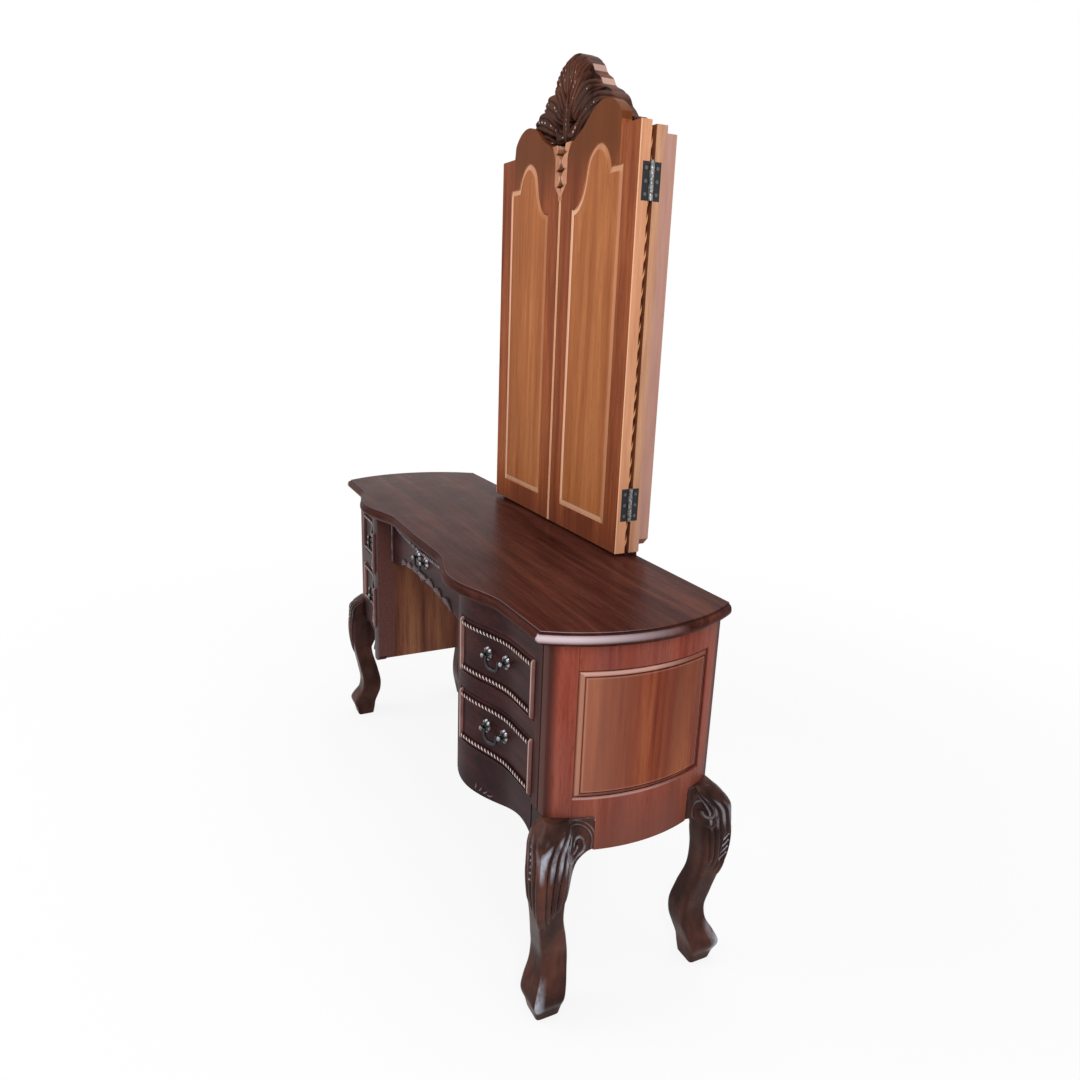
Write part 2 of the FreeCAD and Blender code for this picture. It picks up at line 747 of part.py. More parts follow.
def centre_frame():
    w, y0, y1 = mirror_half_width, mirror_front_depth, mirror_back_depth
    opening = slab(centre_opening(0.0), y0 - overrun, y1 + overrun)
    inner = w - centre_stile_width
    pieces = [block(inner, w, y0, y1, mirror_bottom, mirror_shoulder),
              block(-w, -inner, y0, y1, mirror_bottom, mirror_shoulder)]
    pieces = [piece.cut(hinge_mortises(False)) for piece in pieces]
    pieces.append(block(-inner, inner, y0, y1, mirror_bottom, mirror_bottom + centre_bottom_rail))
    head = block(-inner, inner, y0, y1, mirror_bottom + centre_bottom_rail, mirror_shoulder)
    pieces.append(head.cut(opening))
    return pieces + back_rim()


def back_rim():
    # Second layer behind the centre frame, chamfered at its lower corners.
    y0 = mirror_back_depth
    y1 = y0 + support_thickness
    w, inner = mirror_half_width, mirror_half_width - rim_width
    low = mirror_bottom + rim_bottom_rise
    high = mirror_shoulder - rim_top_drop
    pieces = []
    for sign in (-1, 1):
        points = [vec(sign * inner, 0, low), vec(sign * (w - rim_chamfer), 0, low),
                  vec(sign * w, 0, low + rim_chamfer), vec(sign * w, 0, high), vec(sign * inner, 0, high)]
        pieces.append(slab(polyline(points + points[:1]), y0, y1))
    gap = support_inner_place - fitting_clearance
    pieces.append(block(-gap, gap, y0, y1, low, low + centre_bottom_rail))
    pieces.append(block(-inner, inner, y0, y1, high - centre_bottom_rail, high))
    return pieces


def centre_glass():
    y0 = mirror_front_depth + glass_set_back
    return [slab(centre_opening(-fitting_clearance), y0, y0 + glass_thickness)]


def centre_backboard():
    y1 = mirror_back_depth
    return [slab(centre_opening(-fitting_clearance), y1 - backboard_thickness, y1)]


def ring(outline, width, y0, y1):
    return slab(outline(width), y0, y1).cut(slab(outline(0.0), y0 - overrun, y1 + overrun))


def centre_moulding():
    return [ring(centre_opening, moulding_width, mirror_front_depth - moulding_rise, mirror_front_depth)]


def crest():
    base = mirror_shoulder

    def half_points(scale):
        return [vec(along * crest_half_width * scale, 0,
                    base + (1 - scale) * crest_height / 2 + up * crest_height * scale)
                for along, up in crest_outline_shares]

    def outline(scale):
        right = half_points(scale)
        left = [vec(-point.x, 0, point.z) for point in reversed(right[:-1])]
        return [spline(right + left), Part.LineSegment(left[-1], right[0]).toShape()]

    board = slab(outline(1.0), mirror_front_depth - crest_board_front, mirror_back_depth)
    relief = slab(outline(crest_relief_share), mirror_front_depth - crest_board_front - crest_relief,
                  mirror_front_depth)
    above = block(-crest_half_width, crest_half_width, 0.0, mirror_back_depth,
                  base + crest_height - crest_relief_drop, base + crest_height)
    return [board.fuse(relief.common(above)).removeSplitter()]


def wing_outline():
    # Outline of the right wing, in the XZ plane, anticlockwise from its lower free corner.
    free, w = wing_meeting_gap, mirror_half_width
    shoulder = mirror_bottom + wing_shoulder_rise
    hump = [vec(along * w, 0, shoulder + up * wing_hump_rise) for along, up in wing_hump_shares]
    notch_top = vec(wing_notch_width, 0, shoulder - wing_notch_top_drop)
    notch_low = vec(wing_notch_width, 0, shoulder - wing_notch_bottom_drop)
    end = vec(free, 0, shoulder - wing_notch_end_drop)
    bend = vec((free + wing_notch_width) / 2, 0,
               shoulder - (wing_notch_bottom_drop + wing_notch_end_drop) / 2)
    edges = polyline([vec(free, 0, mirror_bottom), vec(w, 0, mirror_bottom), vec(w, 0, shoulder),
                      vec(wing_step_place, 0, shoulder), hump[0]])
    edges.append(spline(hump + [notch_top]))
    edges += polyline([notch_top, notch_low])
    edges.append(spline([notch_low, bend, end]))
    edges += polyline([end, vec(free, 0, mirror_bottom)])
    return edges


def wing_opening(grow):
    # Opening for the raised panel and the glass, grown outwards by grow.
    x0 = wing_stile_width + wing_meeting_gap - grow
    x1 = mirror_half_width - wing_stile_width + grow
    low = mirror_bottom + wing_bottom_rail - grow
    shoulder = mirror_bottom + wing_panel_shoulder + grow
    step = wing_panel_step_place + grow
    head = [vec(x0 + along * (step - x0), 0, shoulder + up * wing_panel_rise)
            for along, up in wing_panel_shares]
    side = vec(x1, 0, head[-1].z)
    return polyline([head[0], vec(x0, 0, low), vec(x1, 0, low), side, head[-1]]) + [
        spline(head)]


def wing_frame():
    y0, y1 = wing_front_depth, wing_back_depth
    plate = slab(wing_outline(), y0, y1)
    plate = plate.cut(slab(wing_opening(0.0), y0 - overrun, y1 + overrun)).cut(hinge_mortises(True))
    x0 = wing_stile_width + wing_meeting_gap
    x1 = mirror_half_width - wing_stile_width
    high = mirror_shoulder + wing_hump_rise + crest_height
    rail = mirror_bottom + wing_bottom_rail
    regions = [block(0.0, x0, y0, y1, 0.0, high), block(x1, mirror_half_width, y0, y1, 0.0, high),
               block(x0, x1, y0, y1, 0.0, rail), block(x0, x1, y0, y1, rail, high)]
    return [plate.common(region) for region in regions]


def wing_panel():
    y0 = wing_front_depth + wing_panel_recess
    y1 = y0 + wing_panel_thickness
    board = slab(wing_opening(-fitting_clearance), y0, y1)
    field = slab(wing_opening(-wing_panel_bevel), y0 - wing_panel_field, y0 + wing_panel_field)
    return [board.fuse(field).removeSplitter()]


def wing_glass():
    y1 = wing_back_depth - glass_set_back / 2
    return [slab(wing_opening(-fitting_clearance), y1 - glass_thickness, y1)]


def wing_moulding():
    return [ring(wing_opening, moulding_width, wing_back_depth, wing_back_depth + moulding_rise)]


def hinge_bottoms():
    return [mirror_bottom + hinge_lower_rise, mirror_bottom + hinge_upper_rise]


def leaf_span(moving):
    # Depths covered by a leaf on its board, measured from the barrel outwards.
    near = hinge_barrel_radius + hinge_running_gap
    if moving:
        return hinge_axis_y - near - hinge_leaf_width, hinge_axis_y - near
    return hinge_axis_y + near, hinge_axis_y + near + hinge_leaf_width


def hinge_mortises(moving):
    y0, y1 = leaf_span(moving)
    x1 = mirror_half_width
    cuts = []
    for z in hinge_bottoms():
        cut = block(x1 - hinge_leaf_thickness, x1 + overrun, y0, y1, z, z + hinge_length)
        cuts += [cut] if moving else [cut, mirrored(cut)]
    return Part.makeCompound(cuts)


def hinge_leaf(bottom, moving):
    # One leaf with every second knuckle of the barrel.
    y0, y1 = leaf_span(moving)
    x1 = mirror_half_width
    x0 = x1 - hinge_leaf_thickness
    leaf = block(x0, x1, y0, y1, bottom, bottom + hinge_length)
    pitch = hinge_length / hinge_knuckles
    gap = hinge_running_gap / 2
    for k in range(1 if moving else 0, hinge_knuckles, 2):
        low, high = bottom + k * pitch + gap, bottom + (k + 1) * pitch - gap
        barrel = Part.makeCylinder(hinge_barrel_radius, high - low, vec(hinge_axis_x, hinge_axis_y, low))
        ya, yb = sorted((hinge_axis_y, y1 if moving else y0))
        leaf = leaf.fuse(barrel).fuse(block(x0, x1, ya, yb, low, high))
    bore = Part.makeCylinder(hinge_pin_radius + hinge_pin_clearance, hinge_length + 2 * overrun,
                             vec(hinge_axis_x, hinge_axis_y, bottom - overrun))
    leaf = leaf.cut(bore).removeSplitter()
    for place in screw_places(bottom, moving):
        leaf = leaf.cut(Part.makeCylinder(screw_radius + hinge_pin_clearance, 2 * overrun,
                                          place + vec(overrun, 0, 0), vec(-1, 0, 0)))
    return leaf


def screw_places(bottom, moving):
    y0, y1 = leaf_span(moving)
    step = hinge_length / screws_per_leaf
    return [vec(mirror_half_width, (y0 + y1) / 2, bottom + step * (k + 1 / 2))
            for k in range(screws_per_leaf)]


def screw(place, direction, length):
    head = Part.makeCylinder(screw_head_radius, screw_head_height, place, direction * -1)
    shank = Part.makeCylinder(screw_radius, length, place, direction)
    return head.fuse(shank).removeSplitter()


def hinge_pin(bottom):
    centre = vec(hinge_axis_x, hinge_axis_y, bottom)
    pin = Part.makeCylinder(hinge_pin_radius, hinge_length, centre)
    head = Part.makeCylinder(hinge_barrel_radius, hinge_pin_head, centre + vec(0, 0, hinge_length))
    return pin.fuse(head).removeSplitter()


def both_sides(shapes):
    return shapes + [mirrored(shape) for shape in shapes]


def fixed_leaves():
    return both_sides([hinge_leaf(bottom, False) for bottom in hinge_bottoms()])


def wing_leaves():
    return [hinge_leaf(bottom, True) for bottom in hinge_bottoms()]


def hinge_pins():
    return both_sides([hinge_pin(bottom) for bottom in hinge_bottoms()])


def leaf_screws(moving):
    return [screw(place, vec(-1, 0, 0), screw_length)
            for bottom in hinge_bottoms() for place in screw_places(bottom, moving)]


def support_screws():
    # Screws through a support into the kneehole rail and into the centre frame's bottom rail.
    x = support_inner_place + support_width / 2
    y = mirror_back_depth + support_thickness
    rail = case_top - back_rail_height
    heights = [rail + share * back_rail_height for share in support_screw_shares]
    heights.append(mirror_bottom + centre_bottom_rail / 2)
    return [screw(vec(x, y, z), vec(0, -1, 0), support_screw_length) for z in heights]


def fixed_screws():
    return both_sides(leaf_screws(False) + support_screws())


def cut_screws(boards, screws):
    # Pilot holes in the boards that the screws enter.
    drilled = []
    for board in boards:
        for one in screws:
            if board.BoundBox.intersect(one.BoundBox):
                board = board.cut(one)
        drilled.append(board)
    return drilled


def build_nodes():
    nodes = {"table_top": [table_top()]}
    front_leg = leg()
    ear = knee_block(front_leg)
    sides = (("right", 1, lambda shapes: shapes), ("left", -1, lambda shapes: [mirrored(s) for s in shapes]))
    posts, bottoms, backs, runner_set = [], [], [], []
    for side, sign, place in sides:
        nodes[f"front_{side}_leg"] = place([front_leg, ear])
        nodes[f"rear_{side}_leg"] = place([to_rear(front_leg), to_rear(ear)])
        nodes[f"{side}_end_frame"] = place(end_frame())
        nodes[f"{side}_end_panel"] = place(end_panel())
        nodes[f"{side}_inner_side"] = place(inner_side())
        nodes[f"{side}_front_frame"] = place(front_frame())
        posts += place(corner_posts())
        bottoms += place([bottom_board()])
        backs += place([back_panel()])
        runner_set += place(runners() + [centre_runner()])
        for level, floor in (("upper", upper_floor), ("lower", drawer_floor)):
            for piece, shapes in side_drawer(floor, sign).items():
                nodes[f"{side}_{level}_drawer_{piece}"] = shapes
        wing_screws = leaf_screws(True)
        nodes[f"{side}_wing_frame"] = place(cut_screws(wing_frame(), wing_screws))
        nodes[f"{side}_wing_panel"] = place(wing_panel())
        nodes[f"{side}_wing_glass"] = place(wing_glass())
        nodes[f"{side}_wing_moulding"] = place(wing_moulding())
        nodes[f"{side}_wing_hinge_leaves"] = place(wing_leaves())
        nodes[f"{side}_wing_screws"] = place(wing_screws)
    for piece, shapes in centre_drawer().items():
        nodes[f"centre_drawer_{piece}"] = shapes
    screws = fixed_screws()
    nodes["corner_posts"] = posts
    nodes["pedestal_bottoms"] = bottoms
    nodes["pedestal_backs"] = backs
    nodes["drawer_runners"] = runner_set
    nodes["kneehole_rail"] = cut_screws([kneehole_rail()], screws)
    nodes["mirror_plinth"] = [plinth()]
    nodes["mirror_supports"] = cut_screws(supports(), screws)
    nodes["centre_frame"] = cut_screws(centre_frame(), screws)
    nodes["centre_glass"] = centre_glass()
    nodes["centre_backboard"] = centre_backboard()
    nodes["centre_moulding"] = centre_moulding()
    nodes["crest"] = crest()
    nodes["fixed_hinge_leaves"] = fixed_leaves()
    nodes["hinge_pins"] = hinge_pins()
    nodes["fixed_screws"] = screws
    return nodes


def export(nodes):
    os.makedirs("parts", exist_ok=True)
    for name, shapes in nodes.items():
        solids = [solid for shape in shapes for solid in shape.Solids]
        whole = solids[0] if len(solids) == 1 else Part.makeCompound(solids)
        whole.exportStep(f"parts/{name}.step")


export(build_nodes())
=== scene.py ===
import math

import bpy
import numpy as np
from mathutils import Matrix, Vector


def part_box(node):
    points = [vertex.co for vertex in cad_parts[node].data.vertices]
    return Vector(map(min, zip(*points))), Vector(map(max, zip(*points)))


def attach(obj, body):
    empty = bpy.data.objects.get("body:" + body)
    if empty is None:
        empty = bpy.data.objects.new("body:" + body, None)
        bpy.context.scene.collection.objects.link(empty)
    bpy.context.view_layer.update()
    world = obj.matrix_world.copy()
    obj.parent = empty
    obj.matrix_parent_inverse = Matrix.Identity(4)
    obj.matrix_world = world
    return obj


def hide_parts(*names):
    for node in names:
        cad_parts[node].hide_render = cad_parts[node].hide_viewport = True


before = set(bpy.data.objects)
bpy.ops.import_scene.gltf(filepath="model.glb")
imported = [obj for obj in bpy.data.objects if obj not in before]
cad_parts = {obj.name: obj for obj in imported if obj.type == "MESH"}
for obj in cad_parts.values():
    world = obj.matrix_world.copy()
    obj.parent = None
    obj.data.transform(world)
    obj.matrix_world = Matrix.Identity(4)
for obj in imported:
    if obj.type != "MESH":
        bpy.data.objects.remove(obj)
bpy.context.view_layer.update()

# Kneehole dressing table with a folding triple mirror. Metres, front towards -Y.
print("frame loaded:", len(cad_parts), "nodes")


class Look(dict):
    # Values that a user may change, read as look.name.
    __getattr__ = dict.__getitem__


def smoothCurve(at, knots, values):
    # Cubic Hermite through the knots; the slope at each is the mean slope of its neighbours.
    knots, values = np.asarray(knots, float), np.asarray(values, float)
    slopes = np.gradient(values, knots)
    k = np.clip(np.searchsorted(knots, at) - 1, 0, len(knots) - 2)
    step = knots[k + 1] - knots[k]
    t = ramp(at - knots[k], step)
    return ((1 + 2 * t) * (1 - t) ** 2 * values[k] + t * (1 - t) ** 2 * step * slopes[k]
            + t * t * (3 - 2 * t) * values[k + 1] + t * t * (t - 1) * step * slopes[k + 1])


def lengthAlong(path):
    # Length of a path up to each of its points.
    return np.r_[0, np.cumsum(np.linalg.norm(np.diff(path, axis=0), axis=1))]


def smoothPath(points, count):
    # The same cubic through points, even in chord length.
    points = np.asarray(points, float)
    along = lengthAlong(points)
    at = np.linspace(0, along[-1], count)
    return np.stack([smoothCurve(at, along, column) for column in points.T], -1)


def roundTurn(count):
    # Even angles of one whole turn.
    return np.linspace(0, 2 * np.pi, count, endpoint=False)


def softEdges(count, start, end, band):
    # Places from start to end with extra rows within band of each end.
    edge = band * np.array([0.0, 0.15, 0.4, 0.7, 1.0])
    return np.r_[start + edge, np.linspace(start + band, end - band, count)[1:-1], (end - edge)[::-1]]


def edgeDrop(distance, band):
    # Quarter round: how far a face falls back within band of its edge.
    inside = np.clip(1 - distance / band, 0, 1)
    return band * (1 - np.sqrt(1 - inside ** 2))


def arc(offset, half, rise):
    # Circle through the ends of a chord, half on each side, and a crown rise above it.
    radius = (half ** 2 + rise ** 2) / (2 * rise)
    return rise - radius + np.sqrt(radius ** 2 - offset ** 2)


def ramp(difference, length):
    # 0 below a place, then evenly up to 1 over length.
    return np.clip(difference / length, 0, 1)


def unit(vectors):
    # Each vector over its length.
    return vectors / np.maximum(np.linalg.norm(vectors, axis=-1, keepdims=True), 1e-12)


def gridQuads(rows, cols, wrapRows=False, wrapCols=False):
    # The four corners of each cell of a grid of points, joined round where it wraps.
    i = np.arange(rows if wrapRows else rows - 1)[:, None]
    j = np.arange(cols if wrapCols else cols - 1)[None, :]
    i2, j2 = (i + 1) % rows, (j + 1) % cols
    corners = [i * cols + j, i * cols + j2, i2 * cols + j2, i2 * cols + j]
    return np.stack(np.broadcast_arrays(*corners), -1).reshape(-1, 4)


def outward(shape):
    # Turns every face round if the signed volume of the closed shape is negative.
    points, groups = shape
    volume = 0.0
    for faces in groups:
        corner = points[faces][..., :3]
        for k in range(1, faces.shape[1] - 1):
            volume += np.einsum("ij,ij->", corner[:, 0], np.cross(corner[:, k], corner[:, k + 1]))
    return (points, [faces[:, ::-1] for faces in groups]) if volume < 0 else shape


def flatten(grid):
    # Rows of x, y, z and the share of relief, which is 0 where the grid gives none.
    points = grid.reshape(-1, grid.shape[-1])
    return points if points.shape[1] == 4 else np.c_[points, np.zeros(len(points))]


def withRelief(grid, share=0.0):
    # Points with their share of relief as a fourth number.
    return np.concatenate([grid, (share + 0 * grid[..., 0])[..., None]], -1)


def loft(sections):
    # Closed skin round a row of closed sections, a polygon on each end.
    rows, cols = sections.shape[:2]
    first = np.arange(cols)[None, ::-1]
    last = np.arange(cols)[None] + (rows - 1) * cols
    return outward((flatten(sections), [gridQuads(rows, cols, wrapCols=True), first, last]))


def hoop(sections):
    # Skin of sections carried round a closed path.
    return outward((flatten(sections), [gridQuads(*sections.shape[:2], True, True)]))


def shell(front, back):
    # Closed plate between two grids of the same size.
    rows, cols = front.shape[:2]
    j = np.arange(cols - 1)
    near = np.stack([j + 1, j, 2 * cols - 1 - j, 2 * cols - 2 - j], -1)
    far = near[:, ::-1] + (rows - 1) * 2 * cols
    points = np.concatenate([front, back[:, ::-1]], axis=1)
    return outward((flatten(points), [gridQuads(rows, 2 * cols, wrapCols=True), near, far]))


def disc(rings, middle, behind):
    # Closed cap: rings of a polar grid from the rim inwards to one point, and one point behind.
    rows, cols = rings.shape[:2]
    j, after = np.arange(cols), (np.arange(cols) + 1) % cols
    inmost, centre = (rows - 1) * cols, rows * cols
    points = flatten(np.concatenate([rings.reshape(-1, 4), [[*middle, 0]], [[*behind, 0]]]))
    inner = np.stack([j + inmost, after + inmost, 0 * j + centre], -1)
    outer = np.stack([after, j, 0 * j + centre + 1], -1)
    return outward((points, [gridQuads(rows, cols, wrapCols=True), inner, outer]))


def carried(path, side, up, across, rise):
    # Profile (across, rise) carried along a path whose frame is (side, up).
    return path[:, None] + side[:, None] * across[..., None] + up[:, None] * rise[..., None]


def joined(*shapes):
    # One shape of several; faces count on from the points before them.
    points, groups, start = [], [], 0
    for part, faces in shapes:
        points.append(part)
        groups += [group + start for group in faces]
        start += len(part)
    return np.concatenate(points), groups


def mirrored(shape, axis=0, about=0.0):
    # Image in the plane where the axis is about, its faces turned round again.
    points, groups = shape[0].copy(), shape[1]
    points[:, axis] = 2 * about - points[:, axis]
    return points, [faces[:, ::-1] for faces in groups]


def makePiece(name, shape, material, body, standsFor="", sharpDegrees=38):
    # Object that rides on a body, smooth but where faces meet at more than sharpDegrees.
    points, groups = shape
    mesh = bpy.data.meshes.new(name)
    mesh.from_pydata(points[:, :3].tolist(), [], [face for group in groups for face in group.tolist()])
    mesh.attributes.new("relief", "FLOAT", "POINT").data.foreach_set("value", points[:, 3])
    mesh.shade_smooth()
    mesh.set_sharp_from_angle(angle=math.radians(sharpDegrees))
    mesh.materials.append(finish[material])
    piece = bpy.data.objects.new(name, mesh)
    bpy.context.scene.collection.objects.link(piece)
    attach(piece, body)
    if standsFor:
        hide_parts(standsFor)


def makePair(name, shape, material, body, standsFor="", sharpDegrees=38):
    # A right piece and its mirror image; {0} in a name is right or left, {1} Right or Left.
    for hand, image in (("right", shape), ("left", mirrored(shape))):
        label, rides, node = (text.format(hand, hand.capitalize()) for text in (name, body, standsFor))
        makePiece(label, image, material, rides, node, sharpDegrees)


class Value:
    # A number socket with Python's operators; each adds one Math node.
    def __init__(self, graph, socket):
        self.graph, self.socket = graph, socket

    def paired(operation):
        return lambda self, other: self.graph.maths(operation, self, other)

    __add__ = __radd__ = paired("ADD")
    __mul__ = __rmul__ = paired("MULTIPLY")
    __sub__, __truediv__, __pow__ = paired("SUBTRACT"), paired("DIVIDE"), paired("POWER")
    __gt__, __lt__ = paired("GREATER_THAN"), paired("LESS_THAN")

    def __rsub__(self, other):
        return self.graph.maths("SUBTRACT", other, self)

    def __abs__(self):
        return self.graph.maths("ABSOLUTE", self)


class Graph:
    # The node tree of one material, or of the world.
    def __init__(self, name, kind=bpy.data.materials):
        self.owner = kind.new(name)
        self.owner.use_nodes = True
        self.tree = self.owner.node_tree
        self.tree.nodes.clear()

    def node(self, kind, settings=None, inputs=None):
        made = self.tree.nodes.new("ShaderNode" + kind)
        for key, value in (settings or {}).items():
            if key == "stops":
                stops = made.color_ramp.elements
                while len(stops) < len(value):
                    stops.new(0.5)
                for element, (place, colour) in zip(stops, value):
                    element.position, element.color = place, (*colour, 1)
            else:
                setattr(made, key, value)
        for key, value in (inputs or {}).items():
            if isinstance(value, Value):
                self.tree.links.new(value.socket, made.inputs[key])
            elif made.inputs[key].type == "RGBA":
                made.inputs[key].default_value = (*value, 1)
            else:
                made.inputs[key].default_value = value
        return made

    def out(self, made, key=0):
        return Value(self, made.outputs[key])

    def maths(self, operation, *values):
        return self.out(self.node("Math", {"operation": operation}, dict(enumerate(values))))

    def limit(self, value):
        return self.out(self.node("Clamp", {}, {0: value}))

    def blend(self, factor, first, second):
        # Colours: first where factor is 0, second where it is 1.
        return self.out(self.node("Mix", {"data_type": "RGBA"}, {0: factor, 6: first, 7: second}), 2)

    def tones(self, value, places, colours):
        return self.out(self.node("ValToRGB", {"stops": list(zip(places, colours))}, {0: value}))

    def where(self):
        return self.out(self.node("TexCoord"), "Object")

    def axes(self):
        place = self.node("SeparateXYZ", {}, {0: self.where()})
        return [self.out(place, axis) for axis in "XYZ"]

    def relief(self):
        # The share of relief that the mesh carries.
        return self.out(self.node("Attribute", {"attribute_name": "relief"}), "Fac")

    def places(self, scale=(1, 1, 1)):
        return self.out(self.node("Mapping", {}, {"Vector": self.where(), "Scale": scale}))

    def noise(self, where, scale, detail=3.0, roughness=0.6, distortion=0.0):
        made = self.node("TexNoise", {}, {"Vector": where, "Scale": scale, "Detail": detail,
                                          "Roughness": roughness, "Distortion": distortion})
        return self.out(made, "Fac")

    def show(self, surface, output="OutputMaterial"):
        self.node(output, {}, {0: self.out(surface)})
        return self.owner

    def finish(self, sockets, height=None, depth=0.0002, strength=0.5):
        # Principled surface; height is in units of depth.
        if height is not None:
            made = self.node("Bump", {}, {"Height": height, "Distance": depth, "Strength": strength})
            sockets["Normal"] = self.out(made, "Normal")
        return self.show(self.node("BsdfPrincipled", {}, sockets))


grain = Look(stretch=0.06, fine=7, pores=45, depth=0.00025, poreFrom=0.43, smear=0.16)


def woodMaterial(name, look):
    # Streaks: noise stretched along the grain picks a colour from three tones; pores and waves of
    # a finer noise darken it; the bump is the same fine grain. Bands and corners turn the colour
    # towards another by height and towards the ends. Faces beyond or within a distance from the
    # middle plane take a paler tone painted as lit, arrises a painted highlight; relief paints
    # highlights on arrises and shade in hollows.
    graph = Graph(name)
    where = graph.places([grain.stretch if axis == look.along else 1 for axis in "xyz"])
    wide = graph.noise(where, look.streaks, 3.0, 0.5, 0.8)
    fine = graph.noise(where, look.streaks * grain.fine, 5.0, 0.6, 0.3)
    pores = graph.noise(where, look.streaks * grain.pores, 2.0, 0.5)
    tone = graph.limit(0.5 + (wide - 0.5) * look.contrast + (fine - 0.5) * look.fineContrast)
    colour = graph.tones(tone, (0.12, 0.5, 0.88), look.tones)
    cloud = graph.noise(graph.places(look.cloudStretch), look.cloudScale, 2.0, 0.5)
    colour = graph.blend(graph.limit((cloud - 0.42) * look.cloud), colour, look.cloudColour)
    colour = graph.blend(graph.limit((grain.poreFrom - pores) * 7.0) * 0.55, colour, look.tones[0])
    away, y, z = graph.axes()
    away = abs(away)
    # bands: another colour above or below a height; on the wings it is painted shade on the head and foot
    for band in look.get("bands", ()):
        share = graph.limit((z - band.start + (wide - 0.5) * 0.08) / band.fade) * (away < band.within)
        colour = graph.blend(share * band.most, colour, band.colour)
    # corners: another colour towards the front and rear ends
    if "corners" in look:
        corner = look.corners
        share = graph.limit((abs(y - corner.middle) - corner.start) / corner.fade)
        colour = graph.blend(share * 0.9, colour, corner.colour)
    # pale sides: a paler tone painted as lit, turning towards another colour at the rear
    if "sawn" in look:
        sawn = look.sawn
        outside = away > sawn.beyond if "beyond" in sawn else away < sawn.within
        pale = graph.blend(graph.limit(0.3 + (fine - 0.4) * 1.6), sawn.low, sawn.high)
        if "rear" in sawn:
            pale = graph.blend(graph.limit((y - sawn.rear) / 0.012) * 0.5, pale, sawn.rearColour)
        colour = graph.blend(outside, colour, pale)
    # painted highlight along the wings' outer front arrises and their free edges below the head
    if "arris" in look:
        arris = look.arris
        share = (away > arris.beyond) * (y < arris.before) + (away < arris.within) * (z < arris.below)
        colour = graph.blend(share * 0.85, colour, arris.colour)
    # painted highlight where the relief is positive, painted shade where it is negative
    if "lit" in look:
        relief = graph.relief()
        colour = graph.blend(graph.limit(relief) * 0.9, colour, look.lit)
        colour = graph.blend(graph.limit(relief * -1.0) * 0.9, colour, look.stain)
    smear = graph.noise(graph.places(), 14.0)
    rough = graph.limit(look.roughness + (smear - 0.5) * grain.smear + (pores - 0.5) * 0.1)
    return graph.finish({"Base Color": colour, "Roughness": rough, "Specular IOR Level": look.gloss,
                         "IOR": 1.5}, fine * 0.4 + pores * 0.6, grain.depth, 0.6)


def carvedMaterial(name, look):
    # Dark polished carving: the share of relief that its mesh carries sets the tone, from painted shade in
    # the hollows to a painted highlight on the crests; plain places have streaks and patches.
    graph = Graph(name)
    where = graph.places((1, 1, 0.12))
    streak = graph.noise(where, 30.0, 4.0, 0.6, 0.5)
    patch = graph.noise(graph.places(), 9.0)
    tone = graph.limit(0.5 + (streak - 0.5) * 1.2 + (patch - 0.5) * 1.6)
    colour = graph.tones(tone, (0.1, 0.55, 0.95), look.tones)
    relief = graph.relief()
    # painted shade in the hollows, where the relief is negative
    colour = graph.blend(graph.limit((0.0 - relief) * 1.6) * 0.9, colour, look.stain)
    mottle = graph.noise(graph.places((1, 1, 0.5)), look.mottleScale)
    # painted highlight on the crests, broken up by patches and mottle
    worn = graph.limit((relief - look.wearFrom) * look.wearSlope + (patch - 0.5) * 0.5)
    worn = worn * graph.limit(0.5 + (mottle - 0.5) * look.mottle + look.evenness)
    colour = graph.blend(worn * look.wear, colour, look.worn)
    rough = graph.limit(look.roughness + (patch - 0.5) * 0.2 - relief * 0.06)
    fine = graph.noise(where, 160.0, 2.0, 0.5)
    return graph.finish({"Base Color": colour, "Roughness": rough, "Specular IOR Level": look.gloss,
                         "IOR": 1.5}, fine)


def metalMaterial(name, look):
    # Patina: dark in the hollows, bare metal where hands rub the crests.
    graph = Graph(name)
    patch = graph.noise(graph.places(), 60.0, 4.0, 0.65)
    bare = graph.limit((graph.relief() - 0.5) * 2.4 + (patch - 0.55) * 2.0)
    colour = graph.blend(bare, look.patina, look.bare)
    rough = graph.limit(look.roughness + (patch - 0.5) * 0.35 - bare * 0.12)
    fine = graph.noise(graph.places(), 420.0, 2.0, 0.5)
    return graph.finish({"Base Color": colour, "Metallic": look.metallic, "Roughness": rough}, fine, 0.0001)


def mirrorMaterial(name):
    # Silvered plate with a faint haze of dust.
    graph = Graph(name)
    haze = graph.noise(graph.places(), 6.0, 4.0)
    return graph.finish({"Base Color": (0.86, 0.88, 0.88), "Metallic": 1.0,
                         "Roughness": graph.limit((haze - 0.4) * 0.12 + 0.02)})


hingeLook = Look(axis=(0.319, 0.1739), barrel=0.0045, enamel=(0.014, 0.015, 0.018), bright=(0.72, 0.7, 0.67))


def hingeMaterial(name):
    # Black enamelled leaves; the barrel, nearest the axis, is bare metal with a painted bright highlight
    # line.
    graph = Graph(name)
    x, y, z = graph.axes()
    off = (abs(x) - hingeLook.axis[0]) ** 2 + (y - hingeLook.axis[1]) ** 2
    patch = graph.noise(graph.places(), 220.0)
    # painted highlight: bright bare metal along the barrel
    barrel = graph.limit((hingeLook.barrel ** 2 * 1.3 - off) * 6e5)
    bare = graph.limit(barrel * 0.95 + (patch - 0.8) * 2.0)
    colour = graph.blend(bare, hingeLook.enamel, hingeLook.bright)
    return graph.finish({"Base Color": colour, "Metallic": graph.limit(bare + 0.3),
                         "Roughness": graph.limit(0.46 - bare * 0.2 + (patch - 0.5) * 0.3)},
                        patch, 0.00005, 0.3)


